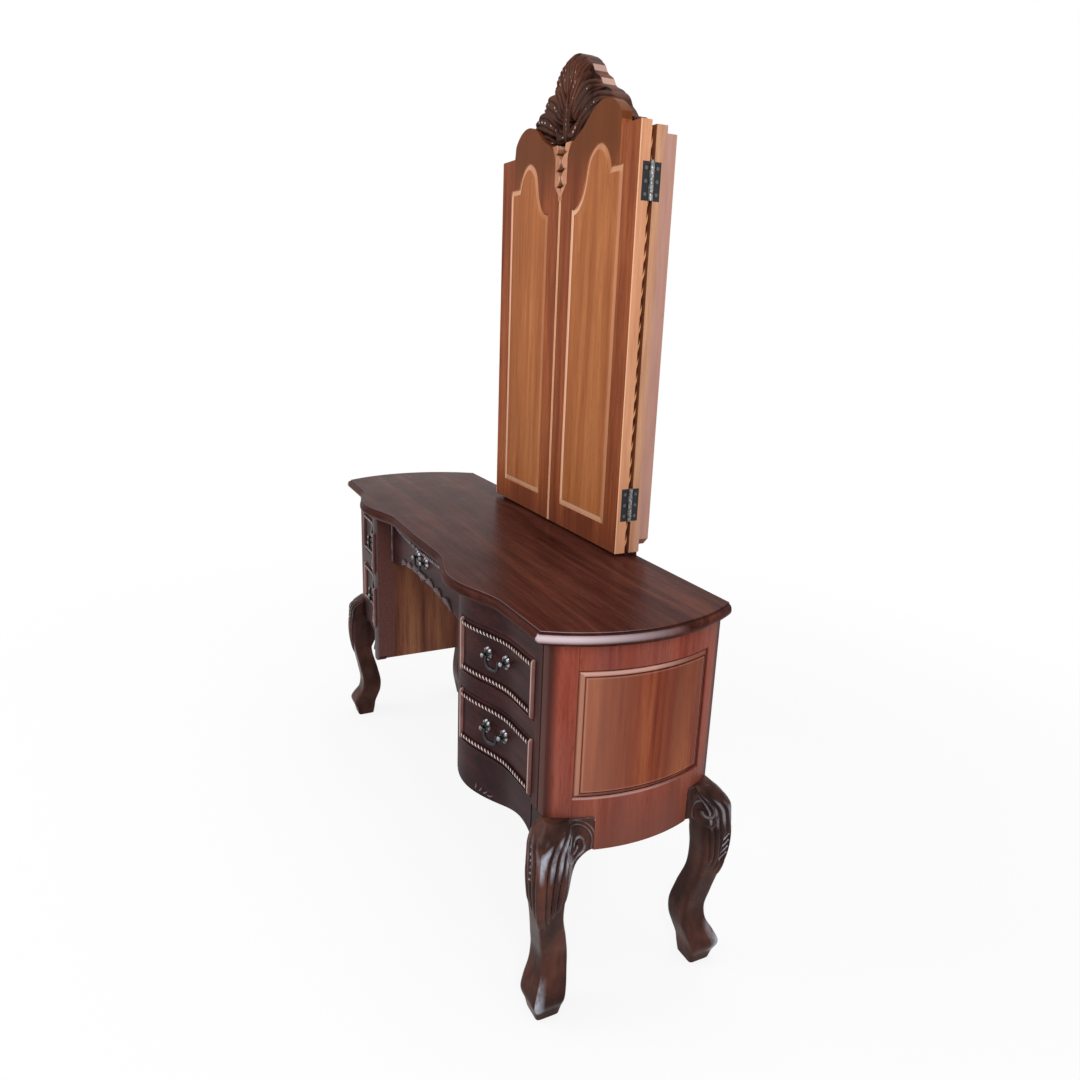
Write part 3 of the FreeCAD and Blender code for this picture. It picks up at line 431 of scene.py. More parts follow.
# tones run from dark to light; streaks is their number per metre across the grain
plainWood = Look(
    along="z", streaks=24.0, contrast=1.6, fineContrast=0.8, roughness=0.34, gloss=0.06, cloud=1.4,
    cloudColour=(0.014, 0.006, 0.008), cloudStretch=(1, 1, 1), cloudScale=2.2)
darkWood = Look(
    along="x", contrast=1.2, tones=[(0.012, 0.004, 0.005), (0.03, 0.008, 0.009), (0.06, 0.016, 0.015)])
woods = Look(
    topWood=Look(
        along="x", streaks=26.0, contrast=1.3, roughness=0.3, gloss=0.02, cloud=1.5,
        tones=[(0.025, 0.005, 0.003), (0.062, 0.017, 0.012), (0.12, 0.035, 0.022)],
        cloudColour=(0.04, 0.013, 0.01), lit=(0.66, 0.53, 0.57), stain=(0.02, 0.006, 0.005)),
    darkWood=darkWood,
    # the kneehole faces of the inner stiles: partly the side's own paler tone, partly a painted highlight
    frontWood=Look(**darkWood, sawn=Look(within=0.3005, low=(0.08, 0.03, 0.026), high=(0.13, 0.055, 0.047))),
    postWood=Look(
        contrast=1.3, tones=[(0.015, 0.005, 0.005), (0.04, 0.012, 0.01), (0.09, 0.024, 0.018)], cloud=1.2,
        cloudColour=(0.03, 0.009, 0.008)),
    endWood=Look(
        streaks=13.0, contrast=1.8, fineContrast=0.7, roughness=0.32, gloss=0.09, cloud=2.6,
        tones=[(0.08, 0.011, 0.007), (0.235, 0.042, 0.024), (0.34, 0.095, 0.06)],
        cloudColour=(0.15, 0.05, 0.048), cloudStretch=(1, 1, 0.3), cloudScale=9.0, lit=(0.62, 0.36, 0.33),
        stain=(0.03, 0.008, 0.006),
        bands=[Look(start=0.5, fade=-0.16, within=1.0, most=0.8, colour=(0.155, 0.052, 0.035))],
        corners=Look(middle=0.017, start=0.161, fade=0.012, colour=(0.05, 0.016, 0.013))),
    endPanelWood=Look(
        streaks=15.0, contrast=2.2, roughness=0.32, cloud=2.2,
        tones=[(0.12, 0.02, 0.011), (0.22, 0.044, 0.018), (0.31, 0.092, 0.036)],
        cloudColour=(0.13, 0.036, 0.026), cloudStretch=(1, 1, 0.25), cloudScale=8.0, lit=(0.68, 0.42, 0.36),
        stain=(0.03, 0.008, 0.006),
        corners=Look(middle=0.16, start=0.13, fade=0.24, colour=(0.4, 0.17, 0.11))),
    sideWood=Look(
        streaks=11.0, contrast=2.2, roughness=0.42, gloss=0.1, cloud=1.8,
        tones=[(0.06, 0.018, 0.012), (0.17, 0.06, 0.034), (0.3, 0.13, 0.06)],
        cloudColour=(0.1, 0.034, 0.024)),
    wingWood=Look(
        streaks=15.0, roughness=0.4, gloss=0.03, cloud=1.6,
        tones=[(0.11, 0.023, 0.009), (0.25, 0.066, 0.025), (0.4, 0.122, 0.042)],
        cloudColour=(0.15, 0.038, 0.018),
        bands=[
            Look(start=1.5, fade=0.09, within=0.246, most=0.85, colour=(0.12, 0.037, 0.012)),
            Look(start=0.87, fade=-0.09, within=0.316, most=0.6, colour=(0.13, 0.036, 0.02))],
        sawn=Look(beyond=0.3165, low=(0.52, 0.22, 0.11), high=(0.78, 0.39, 0.23)),
        arris=Look(beyond=0.3165, before=0.1466, within=0.0042, below=1.5, colour=(0.85, 0.5, 0.3))),
    frameWood=Look(
        streaks=15.0, roughness=0.4, cloud=1.6,
        tones=[(0.12, 0.028, 0.012), (0.28, 0.078, 0.034), (0.42, 0.14, 0.055)],
        cloudColour=(0.17, 0.045, 0.02),
        sawn=Look(
            beyond=0.3172, low=(0.4, 0.18, 0.1), high=(0.68, 0.38, 0.23), rear=0.192,
            rearColour=(0.4, 0.23, 0.24))),
    panelWood=Look(
        streaks=18.0, contrast=1.4, roughness=0.45, cloud=1.2,
        tones=[(0.23, 0.064, 0.018), (0.36, 0.118, 0.037), (0.47, 0.182, 0.066)],
        cloudColour=(0.3, 0.091, 0.028), lit=(0.95, 0.6, 0.42), stain=(0.09, 0.022, 0.01)),
    insideWood=Look(
        along="y", streaks=14.0, contrast=1.4, roughness=0.6, gloss=0.15, cloud=1.0,
        tones=[(0.2, 0.1, 0.045), (0.36, 0.2, 0.1), (0.5, 0.31, 0.17)], cloudColour=(0.26, 0.14, 0.07)),
    backWood=Look(
        streaks=12.0, contrast=1.5, roughness=0.6, gloss=0.05, cloud=1.2,
        tones=[(0.1, 0.034, 0.016), (0.2, 0.078, 0.038), (0.3, 0.13, 0.065)], cloudColour=(0.18, 0.08, 0.04)))
# painted highlights start at a share of relief, and mottle breaks them up
plainCarving = Look(
    roughness=0.4, wear=0.85, wearFrom=0.55, wearSlope=2.6, gloss=0.1, mottle=0.0, mottleScale=9.0,
    evenness=0.5)
carvings = Look(
    legCarving=Look(
        tones=[(0.018, 0.008, 0.007), (0.055, 0.022, 0.017), (0.12, 0.042, 0.028)], worn=(0.46, 0.48, 0.56),
        stain=(0.008, 0.004, 0.004), roughness=0.27, wear=0.75, wearFrom=0.3, wearSlope=1.5, gloss=0.07,
        mottle=3.2, mottleScale=70.0, evenness=0.2),
    apronCarving=Look(
        tones=[(0.03, 0.018, 0.018), (0.07, 0.045, 0.044), (0.12, 0.08, 0.078)], worn=(0.26, 0.2, 0.2),
        stain=(0.02, 0.01, 0.01), wear=0.6),
    crestCarving=Look(
        tones=[(0.024, 0.008, 0.005), (0.065, 0.023, 0.014), (0.13, 0.045, 0.025)], worn=(0.6, 0.38, 0.32),
        stain=(0.012, 0.004, 0.003), gloss=0.03),
    ropeCarving=Look(
        tones=[(0.012, 0.005, 0.005), (0.028, 0.009, 0.008), (0.05, 0.016, 0.014)], worn=(0.85, 0.68, 0.62),
        stain=(0.008, 0.003, 0.003), roughness=0.3, wear=0.95, wearFrom=0.72, wearSlope=5.0),
    stripCarving=Look(
        tones=[(0.08, 0.03, 0.028), (0.2, 0.09, 0.08), (0.36, 0.19, 0.17)], worn=(0.6, 0.42, 0.38),
        stain=(0.03, 0.01, 0.009), roughness=0.34, wear=0.7, gloss=0.12),
    edgeCarving=Look(
        tones=[(0.05, 0.012, 0.006), (0.1, 0.026, 0.012), (0.18, 0.05, 0.02)], worn=(0.9, 0.46, 0.2),
        stain=(0.012, 0.004, 0.002), roughness=0.36, wear=0.9, wearFrom=0.62, wearSlope=3.0, gloss=0.05),
    paleCarving=Look(
        tones=[(0.26, 0.09, 0.04), (0.46, 0.2, 0.11), (0.6, 0.32, 0.2)], worn=(0.72, 0.46, 0.33),
        stain=(0.1, 0.03, 0.015), roughness=0.42, wear=0.5))
metals = Look(
    pullMetal=Look(patina=(0.035, 0.035, 0.038), bare=(0.46, 0.46, 0.47), metallic=0.9, roughness=0.42),
    screwMetal=Look(patina=(0.14, 0.14, 0.14), bare=(0.4, 0.39, 0.38), metallic=1.0, roughness=0.35))
finish = {name: woodMaterial(name, Look({**plainWood, **look})) for name, look in woods.items()}
finish.update({name: carvedMaterial(name, Look({**plainCarving, **look})) for name, look in carvings.items()})
finish.update({name: metalMaterial(name, look) for name, look in metals.items()})
finish.update({"hingeMetal": hingeMaterial("hingeMetal"), "silveredGlass": mirrorMaterial("silveredGlass")})
print("materials:", len(finish))


plan = Look(
    cornerDepth=0.185, centreDepth=0.195, bulgeReach=0.035, bulgePlace=0.32, bulgeHalfWidth=0.17,
    topHalfLength=0.632, topBack=0.2, topBow=0.056, edgeReach=0.009, caseInset=0.024, caseHalfLength=0.62,
    caseBack=0.195, endBow=0.047, kneehole=0.3, post=0.045, side=0.018, board=0.022, drawerGap=0.0015,
    centreMiddle=0.176, centreEnd=0.157)


def frontDepth(x):
    # Straight slope to the corners plus one raised-cosine swelling before each pedestal.
    slope = plan.centreDepth + (plan.cornerDepth - plan.centreDepth) * np.abs(x) / plan.topHalfLength
    distance = np.clip(np.abs(np.abs(x) - plan.bulgePlace), 0, plan.bulgeHalfWidth)
    return slope + plan.bulgeReach * np.cos(np.pi * distance / (2 * plan.bulgeHalfWidth)) ** 2


def caseFront(x):
    # The top's front curve moved back by the case's inset.
    return plan.caseInset - frontDepth(x)


def centreFront(x):
    # Circle through the kneehole drawer's ends and middle.
    return -plan.centreEnd - arc(x, plan.kneehole, plan.centreMiddle - plan.centreEnd)


caseCorner = float(caseFront(plan.caseHalfLength))
endMiddle = (caseCorner + plan.caseBack) / 2


def endReach(y):
    # Circle through the case's two corners and the crown of its bow.
    return plan.caseHalfLength + arc(y - endMiddle, (plan.caseBack - caseCorner) / 2, plan.endBow)


def onGrid(reach, a, b):
    # Points of a surface that faces the front, depth reach over the grid (a, b).
    return np.stack([a, reach, b], -1)


def frontPlate(surface, px, pz, fall):
    # Board whose face lies fall behind a front and whose back is parallel to it.
    front = onGrid(surface(px) + fall, px, pz)
    return shell(front, onGrid(surface(px) + plan.board, px, pz))


def frontBoard(surface, x0, x1, low, high, band=0.003):
    # Board behind a front curve, its outer arrises rounded over within band.
    x, v = softEdges(60, x0, x1, band), softEdges(12, 0.0, 1.0, 0.05)
    px, pz = np.broadcast_arrays(x[:, None], low + (high - low) * v)
    fall = edgeDrop(np.minimum(px - x0, x1 - px), band) + edgeDrop(np.minimum(pz - low, high - pz), band)
    return frontPlate(surface, px, pz, np.minimum(fall, band))


ropeLook = Look(pitch=0.0098, depth=0.3, around=14, perPitch=10, hidden=0.35, sunk=0.45)


def twistedBead(path, side, up, turns, radius, hidden=0.0):
    # Rope: radius * (1 - depth * cos(turn) ^ 2), the turn running along the path and, half a turn,
    # round it; the relief is the same swell, a painted highlight on the crests and painted shade in
    # the grooves and, by hidden, on the side turned to the board.
    angle = roundTurn(ropeLook.around)
    swell = np.abs(np.sin(np.pi * turns[:, None] + angle[None])) ** 0.8
    size = radius * (1 - ropeLook.depth + ropeLook.depth * swell)
    return withRelief(carried(path, side, up, size * np.cos(angle), size * np.sin(angle)),
                      swell * 1.6 - 0.6 - hidden * (1 - np.cos(angle)))


def openRope(path, side, up, radius, pitch):
    return loft(twistedBead(path, side, up, lengthAlong(path) / pitch, radius, ropeLook.hidden))


def frontRope(surface, x0, x1, z, radius):
    # Level rope on a front, partly sunk into it.
    x = np.linspace(x0, x1, int((x1 - x0) / ropeLook.pitch * ropeLook.perPitch))
    path = onGrid(surface(x) - radius * ropeLook.sunk, x, z + 0 * x)
    tangent = unit(np.gradient(path, axis=0))
    side = np.stack([tangent[:, 1], -tangent[:, 0], 0 * x], -1)
    return openRope(path, side, np.array([0, 0, 1.0]) + 0 * side, radius, ropeLook.pitch)


def uprightStrip(surface, x0, x1, z0, z1, rise):
    # Half round bar on the front: rise times the square root of 1 - s squared, domed at its ends; its
    # relief paints a highlight along it, a little off its middle, and shade along one side.
    z, s = softEdges(10, z0, z1, rise), np.linspace(-1, 1, 15)
    px, pz = np.broadcast_arrays((x0 + x1) / 2 + s * (x1 - x0) / 2, z[:, None])
    dome = 1 - np.clip(1 - np.minimum(z - z0, z1 - z) / rise, 0, 1) ** 2
    height = rise * np.sqrt(np.maximum(1 - s ** 2, 0)) ** 0.7 * np.sqrt(dome)[:, None]
    light = 1.3 * np.clip(1 - np.abs(s - 0.15), 0, 1) ** 0.7 - 0.3
    return shell(withRelief(onGrid(surface(px) - height - 0.0002, px, pz), light),
                 withRelief(onGrid(surface(px) + 0.002, px, pz)))


topEdge = Look(
    thickness=0.03, bowPoints=60, frontPoints=300,
    # reach and drop of each row of the edge, as shares of the edge's reach and the thickness
    shares=[
        (0.0, 0.0), (0.06, 0.03), (0.08, 0.09), (0.3, 0.11), (0.66, 0.16), (0.9, 0.27), (1.0, 0.42),
        (0.96, 0.56), (0.78, 0.66), (0.46, 0.72), (0.1, 0.74), (-0.1, 0.76), (-0.3, 0.8), (-0.62, 0.88),
        (-0.8, 0.97), (-0.86, 1.0)],
    # share of light on each row of the edge, at the ends and along the front
    endLight=[0, 0.5, -0.7, -0.9, 0.6, 1.0, 0.9, 0.3, -0.2, -0.5, -0.8, -0.8, -0.5, -0.3, 0, 0],
    frontLight=[0, 0.25, -0.5, -0.7, -0.2, -0.1, -0.25, -0.4, -0.4, -0.6, -0.7, -0.7, -0.5, -0.3, 0, 0],
    fadeFrom=0.07, fadeLength=0.21)


def topOutline(reach, height):
    # Serpentine front, then an arc at the right end and its mirror image at the left one.
    x = plan.topHalfLength + reach
    corner = float(frontDepth(x)) + reach
    y = np.linspace(-corner, plan.topBack, topEdge.bowPoints)
    end = x + arc(y - (plan.topBack - corner) / 2, (plan.topBack + corner) / 2, plan.topBow)
    px = np.linspace(-x, x, topEdge.frontPoints)[1:-1]
    right = np.stack([end, y], -1)
    flat = np.concatenate([np.stack([px, -frontDepth(px) - reach], -1), right, right[::-1] * [-1, 1]])
    return np.c_[flat, np.full(len(flat), height)]


def makeTop():
    # Each outline of the edge gets its share of light; at the ends it fades towards the back.
    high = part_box("table_top")[1]
    sections = []
    rows = zip(topEdge.shares, topEdge.endLight, topEdge.frontLight)
    for (reach, drop), endLight, frontLight in rows:
        ring = topOutline(reach * plan.edgeReach, high.z - drop * topEdge.thickness)
        fade = ramp(topEdge.fadeFrom - ring[:, 1], topEdge.fadeLength)
        light = max(endLight, 0) * fade + min(endLight, 0)
        atEnd = np.abs(ring[:, 0]) > plan.topHalfLength
        sections.append(withRelief(ring, np.where(atEnd, light, frontLight)))
    makePiece("tableTop", loft(np.stack(sections)), "topWood", "table", "table_top", 30)


makeTop()
print("top made")


legSizes = Look(
    height=0.398, half=plan.post / math.sqrt(2), sideShift=0.0108, rows=230, around=176,
    # share of the height, then shift along the outward diagonal and half width in half diagonals
    shape=[
        (0.0, 0.41, 0.74), (0.05, 0.44, 0.87), (0.11, 0.51, 1.05), (0.16, 0.3, 1.02), (0.215, 0.02, 0.92),
        (0.285, -0.09, 0.87), (0.4, 0.125, 0.84), (0.53, 0.47, 0.795), (0.65, 0.6, 0.89), (0.75, 0.565, 0.99),
        (0.85, 0.535, 0.975), (0.91, 0.46, 0.965), (0.95, 0.29, 0.9), (0.98, 0.05, 0.8), (1.0, -0.12, 0.72)],
    # powers of the superellipse: foot to shin, knee, and the block in the corner
    shinPower=8, kneePower=3.6, kneeFrom=0.6, kneeFade=0.2, blockPower=24, blockHeight=0.062,
    blockRelief=-0.7, endRound=0.004, inset=Look(front=0.0065, rear=0.0095))
leafLook = Look(
    tip=0.2, tipStep=0.012, top=0.366, topSlope=0.5, highest=0.39, start=0.003, pitch=0.0142, narrowest=0.55,
    ribs=4, rise=0.0048, curlFrom=0.33, curl=0.013, curlReach=0.055, brightFrom=0.29, brightLength=0.045,
    notchLow=0.232, notchHigh=0.305, notchPitch=0.015, notchWidth=0.024, notchDepth=0.0035, beadAt=0.03,
    beadLow=0.295, beadHigh=0.372, beadPitch=0.0125, beadRadius=0.0026, footLow=0.012, footHigh=0.112,
    footWidth=0.03)


def legLeaf(s, z, endSide, notches):
    # Height of the knee's leaf at distance s from the outward ridge, and its relief: ribs rise *
    # |sin(pi * q)| ^ 0.65, q the distance in pitches, each rib ending higher than the last and
    # curling away at the top. The relief paints highlights on the rib crests, brighter higher up and on
    # the end side, and shade between them. A rear leg has notches; beads stand on the front side, and
    # the foot's ridge has a painted highlight on the end side.
    look = leafLook
    curl = look.curl * ramp(z - look.curlFrom, look.curlReach) ** 2
    opened = ramp(z - look.tip, look.curlFrom - look.tip)
    q = (s - curl - look.start) / (look.pitch * (look.narrowest + (1 - look.narrowest) * opened))
    tip = look.tip + look.tipStep * np.floor(np.clip(q, 0, look.ribs - 1))
    top = np.minimum(look.top + look.topSlope * s, look.highest)
    ends = ramp(z - tip, 0.02) ** 0.5 * ramp(top - z, 0.012) ** 0.5
    ends = ends * (q > 0) * (q < look.ribs)
    crown = np.abs(np.sin(np.pi * q)) ** 0.65
    height = ends * (0.2 + 0.8 * crown)
    bright = np.clip((z - look.brightFrom) / look.brightLength, 0.06, 1) * (0.45 + 0.55 * endSide)
    share = ends * np.where(crown > 0.5, (crown - 0.5) * 2 * bright, crown * 2 - 1)
    phase = np.abs(((z + 0.8 * s) / look.notchPitch) % 1 - 0.5) * 2
    notched = ramp(z - look.notchLow, 0.012) * ramp(look.notchHigh - z, 0.012)
    notched = notched * ramp(look.notchWidth - s, 0.006) * endSide * notches
    turn = ((z - look.beadLow) / look.beadPitch) % 1 - 0.5
    ball = 1 - (turn * look.beadPitch / look.beadRadius) ** 2 - ((s - look.beadAt) / look.beadRadius) ** 2
    beads = np.sqrt(np.clip(ball, 0, 1)) * (z > look.beadLow) * (z < look.beadHigh) * (1 - endSide)
    height = look.rise * height * (1 - notched) - look.notchDepth * notched * (1 - phase) ** 1.5
    share = np.where(notched > 0.3, notched * (phase * 1.9 - 0.7), share * (1 - 0.35 * notches))
    # painted highlight along the foot's ridge on the end side
    foot = np.clip(1 - s / look.footWidth, 0, 1) * ramp(z - look.footLow, 0.015)
    foot = foot * ramp(look.footHigh - z, 0.06) * endSide
    return height + look.beadRadius * beads, np.where(beads > 0.1, 1.4 * beads, share) + 1.25 * foot


def legRow(share):
    # Shift along the outward diagonal and half width, in metres, at a share of the height.
    knots, shift, half = np.array(legSizes.shape).T
    return [smoothCurve(share, knots, values) * legSizes.half for values in (shift, half)]


def superellipse(angle, power):
    # Reach at an angle: (|cos| ^ power + |sin| ^ power) ^ (-1 / power).
    return (np.abs(np.cos(angle)) ** power + np.abs(np.sin(angle)) ** power) ** (-1 / power)


def legBody(notches, inset):
    # Superellipses whose middle wanders along the outward diagonal; the leaf stands on their faces.
    size, thin = legSizes, legSizes.endRound
    share = softEdges(size.rows, 0.0, 1.0, thin)
    shift, half = legRow(share)
    half = half - edgeDrop(np.minimum(share, 1 - share), thin) * size.height
    angle = roundTurn(size.around) - np.pi / 4
    knee = ramp(share - size.kneeFrom, size.kneeFade)
    reach = superellipse(angle, (size.shinPower + (size.kneePower - size.shinPower) * knee)[:, None])
    x, y = reach * np.cos(angle), reach * np.sin(angle)
    s = (2 + y - x) * half[:, None]
    z = (share * size.height)[:, None] + 0 * s
    height, relief = legLeaf(s, z, 1.0 * (x + y > 0), notches)
    grow = half[:, None] * (1 + height / (half[:, None] * reach))
    px = plan.caseHalfLength + (size.sideShift + shift)[:, None] + x * grow
    py = caseCorner + (size.sideShift + inset - shift)[:, None] + y * grow
    return loft(withRelief(np.stack([px, py, z], -1), relief))


def legBlock():
    # Plain square block inside the corner: a superellipse of a high power, its lower end rounded; its relief
    # paints it in shade.
    z = softEdges(6, legSizes.height - legSizes.blockHeight, legSizes.height, 0.002)
    angle = roundTurn(64)
    half = plan.post / 2
    reach = (half - edgeDrop(z - z[0], 0.002))[:, None] * superellipse(angle, legSizes.blockPower)
    px = plan.caseHalfLength - half + reach * np.cos(angle)
    py = caseCorner + half + reach * np.sin(angle)
    return loft(withRelief(np.stack([px, py, z[:, None] + 0 * px], -1), legSizes.blockRelief))


earSizes = Look(
    rise=0.0036, thickness=0.024, roll=0.008, scrollRise=0.009, lip=0.0032,
    # edge: depth and height of points along the lower edge
    front=Look(
        edge=[
            (-0.144, 0.228), (-0.132, 0.248), (-0.12, 0.268), (-0.1085, 0.29), (-0.0975, 0.3105),
            (-0.0852, 0.3245), (-0.0736, 0.331)],
        blendFrom=-0.1, blendWidth=0.04, scroll=(-0.113, 0.35), wide=0.029, high=0.033, light=1.0),
    rear=Look(
        edge=[
            (-0.147, 0.284), (-0.141, 0.298), (-0.136, 0.311), (-0.1294, 0.323), (-0.118, 0.329),
            (-0.108, 0.3295), (-0.099, 0.329)],
        blendFrom=-0.11, blendWidth=0.03, scroll=(-0.128, 0.354), wide=0.031, high=0.04, light=0.6))


def volute(a, b, turns, width):
    # Ridge along a spiral r = start + step * turn, and its distance from every place, as a bell curve.
    r, angle = np.hypot(a, b), np.arctan2(b, a) % (2 * np.pi)
    start, step = 0.1, 0.85 / turns
    ridge = 0 * r
    for k in range(int(turns) + 1):
        along = k + angle / (2 * np.pi)
        ridge = np.maximum(ridge, np.exp(-((r - start - step * along) / width) ** 2) * (along < turns))
    return ridge


def kneeEar(look):
    # Bracket between the leg and the end rail: the end's surface plus rise, swept out to the leg's
    # flank; its lower edge is a curve, rounded over. A scroll and two rings stand on it; the relief
    # paints highlights on their ridges and the rounded edges, weaker on the rear ears, and shade
    # between the ridges.
    size, edge = earSizes, np.array(look.edge)
    y = softEdges(96, edge[0, 0], edge[-1, 0], 0.004)
    low = smoothCurve(y, *edge.T)
    z = low[:, None] + (legSizes.height - 0.0005 - low)[:, None] * softEdges(100, 0, 1, 0.07)
    py = y[:, None] + 0 * z
    toEdge = (z - low[:, None]) / np.sqrt(1 + np.gradient(low, y) ** 2)[:, None]
    fall = edgeDrop(np.minimum(toEdge, edge[-1, 0] - py), size.roll)
    shift, half = legRow(z / legSizes.height)
    flank = plan.caseHalfLength + legSizes.sideShift + shift + half
    share = ramp(look.blendFrom - py, look.blendWidth)
    plain = endReach(py) + size.rise
    swept = plain + np.maximum(flank - 0.0015 - plain, 0) * share ** 2 * (3 - 2 * share)
    a, b = (py - look.scroll[0]) / look.wide, (z - look.scroll[1]) / look.high
    r = np.hypot(a, b)
    ridge = volute(a, -b, 1.6, 0.15)
    boss = np.sqrt(np.clip(1 - r ** 4, 0, 1)) * (0.35 + 0.65 * ridge)
    ring = np.abs(np.sin(np.pi * (r - 1.06) / 0.22)) ** 0.8 * (r > 1.06) * (r < 1.5) * (b > -0.4)
    relief = np.where(r < 1, ridge * (1.6 - 0.5 * r) - 0.5, np.where(ring > 0, ring * 0.8 - 0.35, 0))
    lip = np.clip(1 - toEdge / size.lip, 0, 1) + np.clip(1 - (z[:, -1:] - z) / size.lip, 0, 1)
    out = swept - np.minimum(fall, size.roll) + size.scrollRise * boss * (r < 1) + 0.002 * ring
    front = withRelief(np.stack([out, py, z], -1), np.maximum(relief * look.light, 0.45 * lip))
    return shell(front, withRelief(np.stack([endReach(py) - size.thickness, py, z], -1)))


def makeLegs():
    # The rear ones are images of a front leg with notches and their own ear.
    for end, about in (("front", None), ("rear", endMiddle)):
        leg = joined(legBody(1.0 * (end == "rear"), legSizes.inset[end]), legBlock(), kneeEar(earSizes[end]))
        makePair(end + "{1}Leg", leg if about is None else mirrored(leg, 1, about), "legCarving", "table",
                 end + "_{0}_leg", 42)


makeLegs()
print("legs made")


drawerLook = Look(
    ropeRadius=0.0042, ropeInset=0.0115, stripMargin=0.003, stripWidth=0.0085, stripRise=0.006, postGap=0.001)
pullLook = Look(
    halfSpacing=0.027, standOff=0.013, drop=0.02, place=0.434, rise=0.007, leafHeight=0.0145,
    leafWidth=0.0115, leafRise=0.0058, leafRibs=7, leafBack=0.006, eyeRadius=0.0052, eyeGap=0.0035,
    barRadius=0.0036, pinRadius=0.0016,
    # distance from the front and radius along the turned post
    post=[
        (0.0, 0.0052), (0.004, 0.0046), (0.007, 0.0031), (0.009, 0.0036), (0.0105, 0.005), (0.013, 0.0054),
        (0.0155, 0.0048), (0.0174, 0.0028), (0.0181, 0.0004)])
upwards = np.array([0, 0, 1.0])


def drawerTrims(surface, x0, x1, ropesAt, z0, z1):
    # Ropes at the given heights, and an upright strip near each end.
    margin, wide, rise = (drawerLook[key] for key in ("stripMargin", "stripWidth", "stripRise"))
    inner = x0 + margin + wide, x1 - margin - wide
    ropes = joined(*[frontRope(surface, *inner, z, drawerLook.ropeRadius) for z in ropesAt])
    return ropes, joined(*[uprightStrip(surface, left, left + wide, z0, z1, rise)
                           for left in (x0 + margin, inner[1])])


def pullFrame(surface, x, z):
    # Middle of the pull on the front, its side and outward directions.
    step = pullLook.halfSpacing
    right, left = float(surface(np.array(x + step))), float(surface(np.array(x - step)))
    side = unit(np.array([1.0, (right - left) / (2 * step), 0]))
    return np.array([x, (right + left) / 2, z]), side, np.array([side[1], -side[0], 0])


def pullMount(middle, side, ahead, sign):
    # Shell shaped plate: dome over an egg outline with ribs that spread from its foot, on which a
    # turned post ends in a round eye.
    size = pullLook
    at = middle + side * sign * size.halfSpacing
    angle, r = roundTurn(84), (1 - np.linspace(0, 1, 18)[:-1])[:, None]
    egg = 1 + 0.05 * np.cos(8 * angle)
    fan = np.abs(np.cos(size.leafRibs / 2 * (angle - np.pi / 2)))
    ribs = 1 - r * (1 - fan ** 0.8)
    height = size.leafRise * np.sqrt(np.clip(1 - r ** 3, 0, 1)) * (0.55 + 0.45 * ribs)
    across = size.leafWidth * r * (np.cos(angle) * (1 - 0.12 * np.sin(angle)) * egg)
    rise = size.leafHeight * r * (np.sin(angle) * egg)
    points = at + side * across[..., None] + upwards * rise[..., None] + ahead * height[..., None]
    plate = disc(withRelief(points, ribs * r * 1.3 - 0.1), at + ahead * size.leafRise,
                 at - ahead * size.leafBack)
    out, radius = smoothPath(size.post, 26).T[..., None]
    turn = roundTurn(28)
    lathe = (at + ahead * out[..., None] + side * (radius * np.cos(turn))[..., None]
             + upwards * (radius * np.sin(turn))[..., None])
    return joined(plate, loft(withRelief(lathe, np.clip(out / 0.018, 0, 1) * 0.8)))


def roundBar(path, across, rise, radius):
    # Circles of the radius along a path.
    turn, along = roundTurn(20), 0 * path
    return loft(carried(path, across + along, rise + along, radius * np.cos(turn), radius * np.sin(turn)))


def bailBar(middle, side, ahead):
    # Swan neck: drop * |cos t| ^ 0.72 under the eyes at half * sin t ^ 0.6 to each side, thicker at
    # its middle and by a bead near each end, where a pin enters the eye.
    size = pullLook
    half = size.halfSpacing - size.eyeRadius - size.eyeGap
    t = np.linspace(-np.pi / 2, np.pi / 2, 90)
    along = np.sign(t) * np.abs(np.sin(t)) ** 0.6
    reach = half * along * (1.12 - 0.12 * np.abs(along) ** 4)
    pivot = middle + ahead * size.standOff
    path = pivot + side * reach[:, None] - upwards * (size.drop * np.abs(np.cos(t)) ** 0.72)[:, None]
    bead = np.exp(-((np.abs(along) - 0.62) / 0.07) ** 2)
    thick = size.barRadius * (0.82 + 0.42 * np.exp(-(along / 0.32) ** 2) + 0.2 * bead)
    parts = [roundBar(path, unit(np.cross(unit(np.gradient(path, axis=0)), ahead)), ahead, thick[:, None])]
    for sign in (-1, 1):
        run = sign * np.linspace(-0.003, 0.0045, 6)[:, None]
        parts.append(roundBar(pivot + side * sign * half + side * run, upwards, ahead,
                              size.pinRadius + 0 * run))
    return joined(*parts)


def makePull(label, node, surface, x, z):
    # Two mounts on the drawer, and a bail that is a body of its own.
    place = pullFrame(surface, x, z)
    mounts = joined(*[pullMount(*place, sign) for sign in (-1, 1)])
    makePiece(label + "PullMounts", mounts, "pullMetal", node, node + "_pull_mounts", 50)
    makePiece(label + "Bail", bailBar(*place), "pullMetal", node.replace("_drawer", "_bail"),
              node + "_bail", 50)


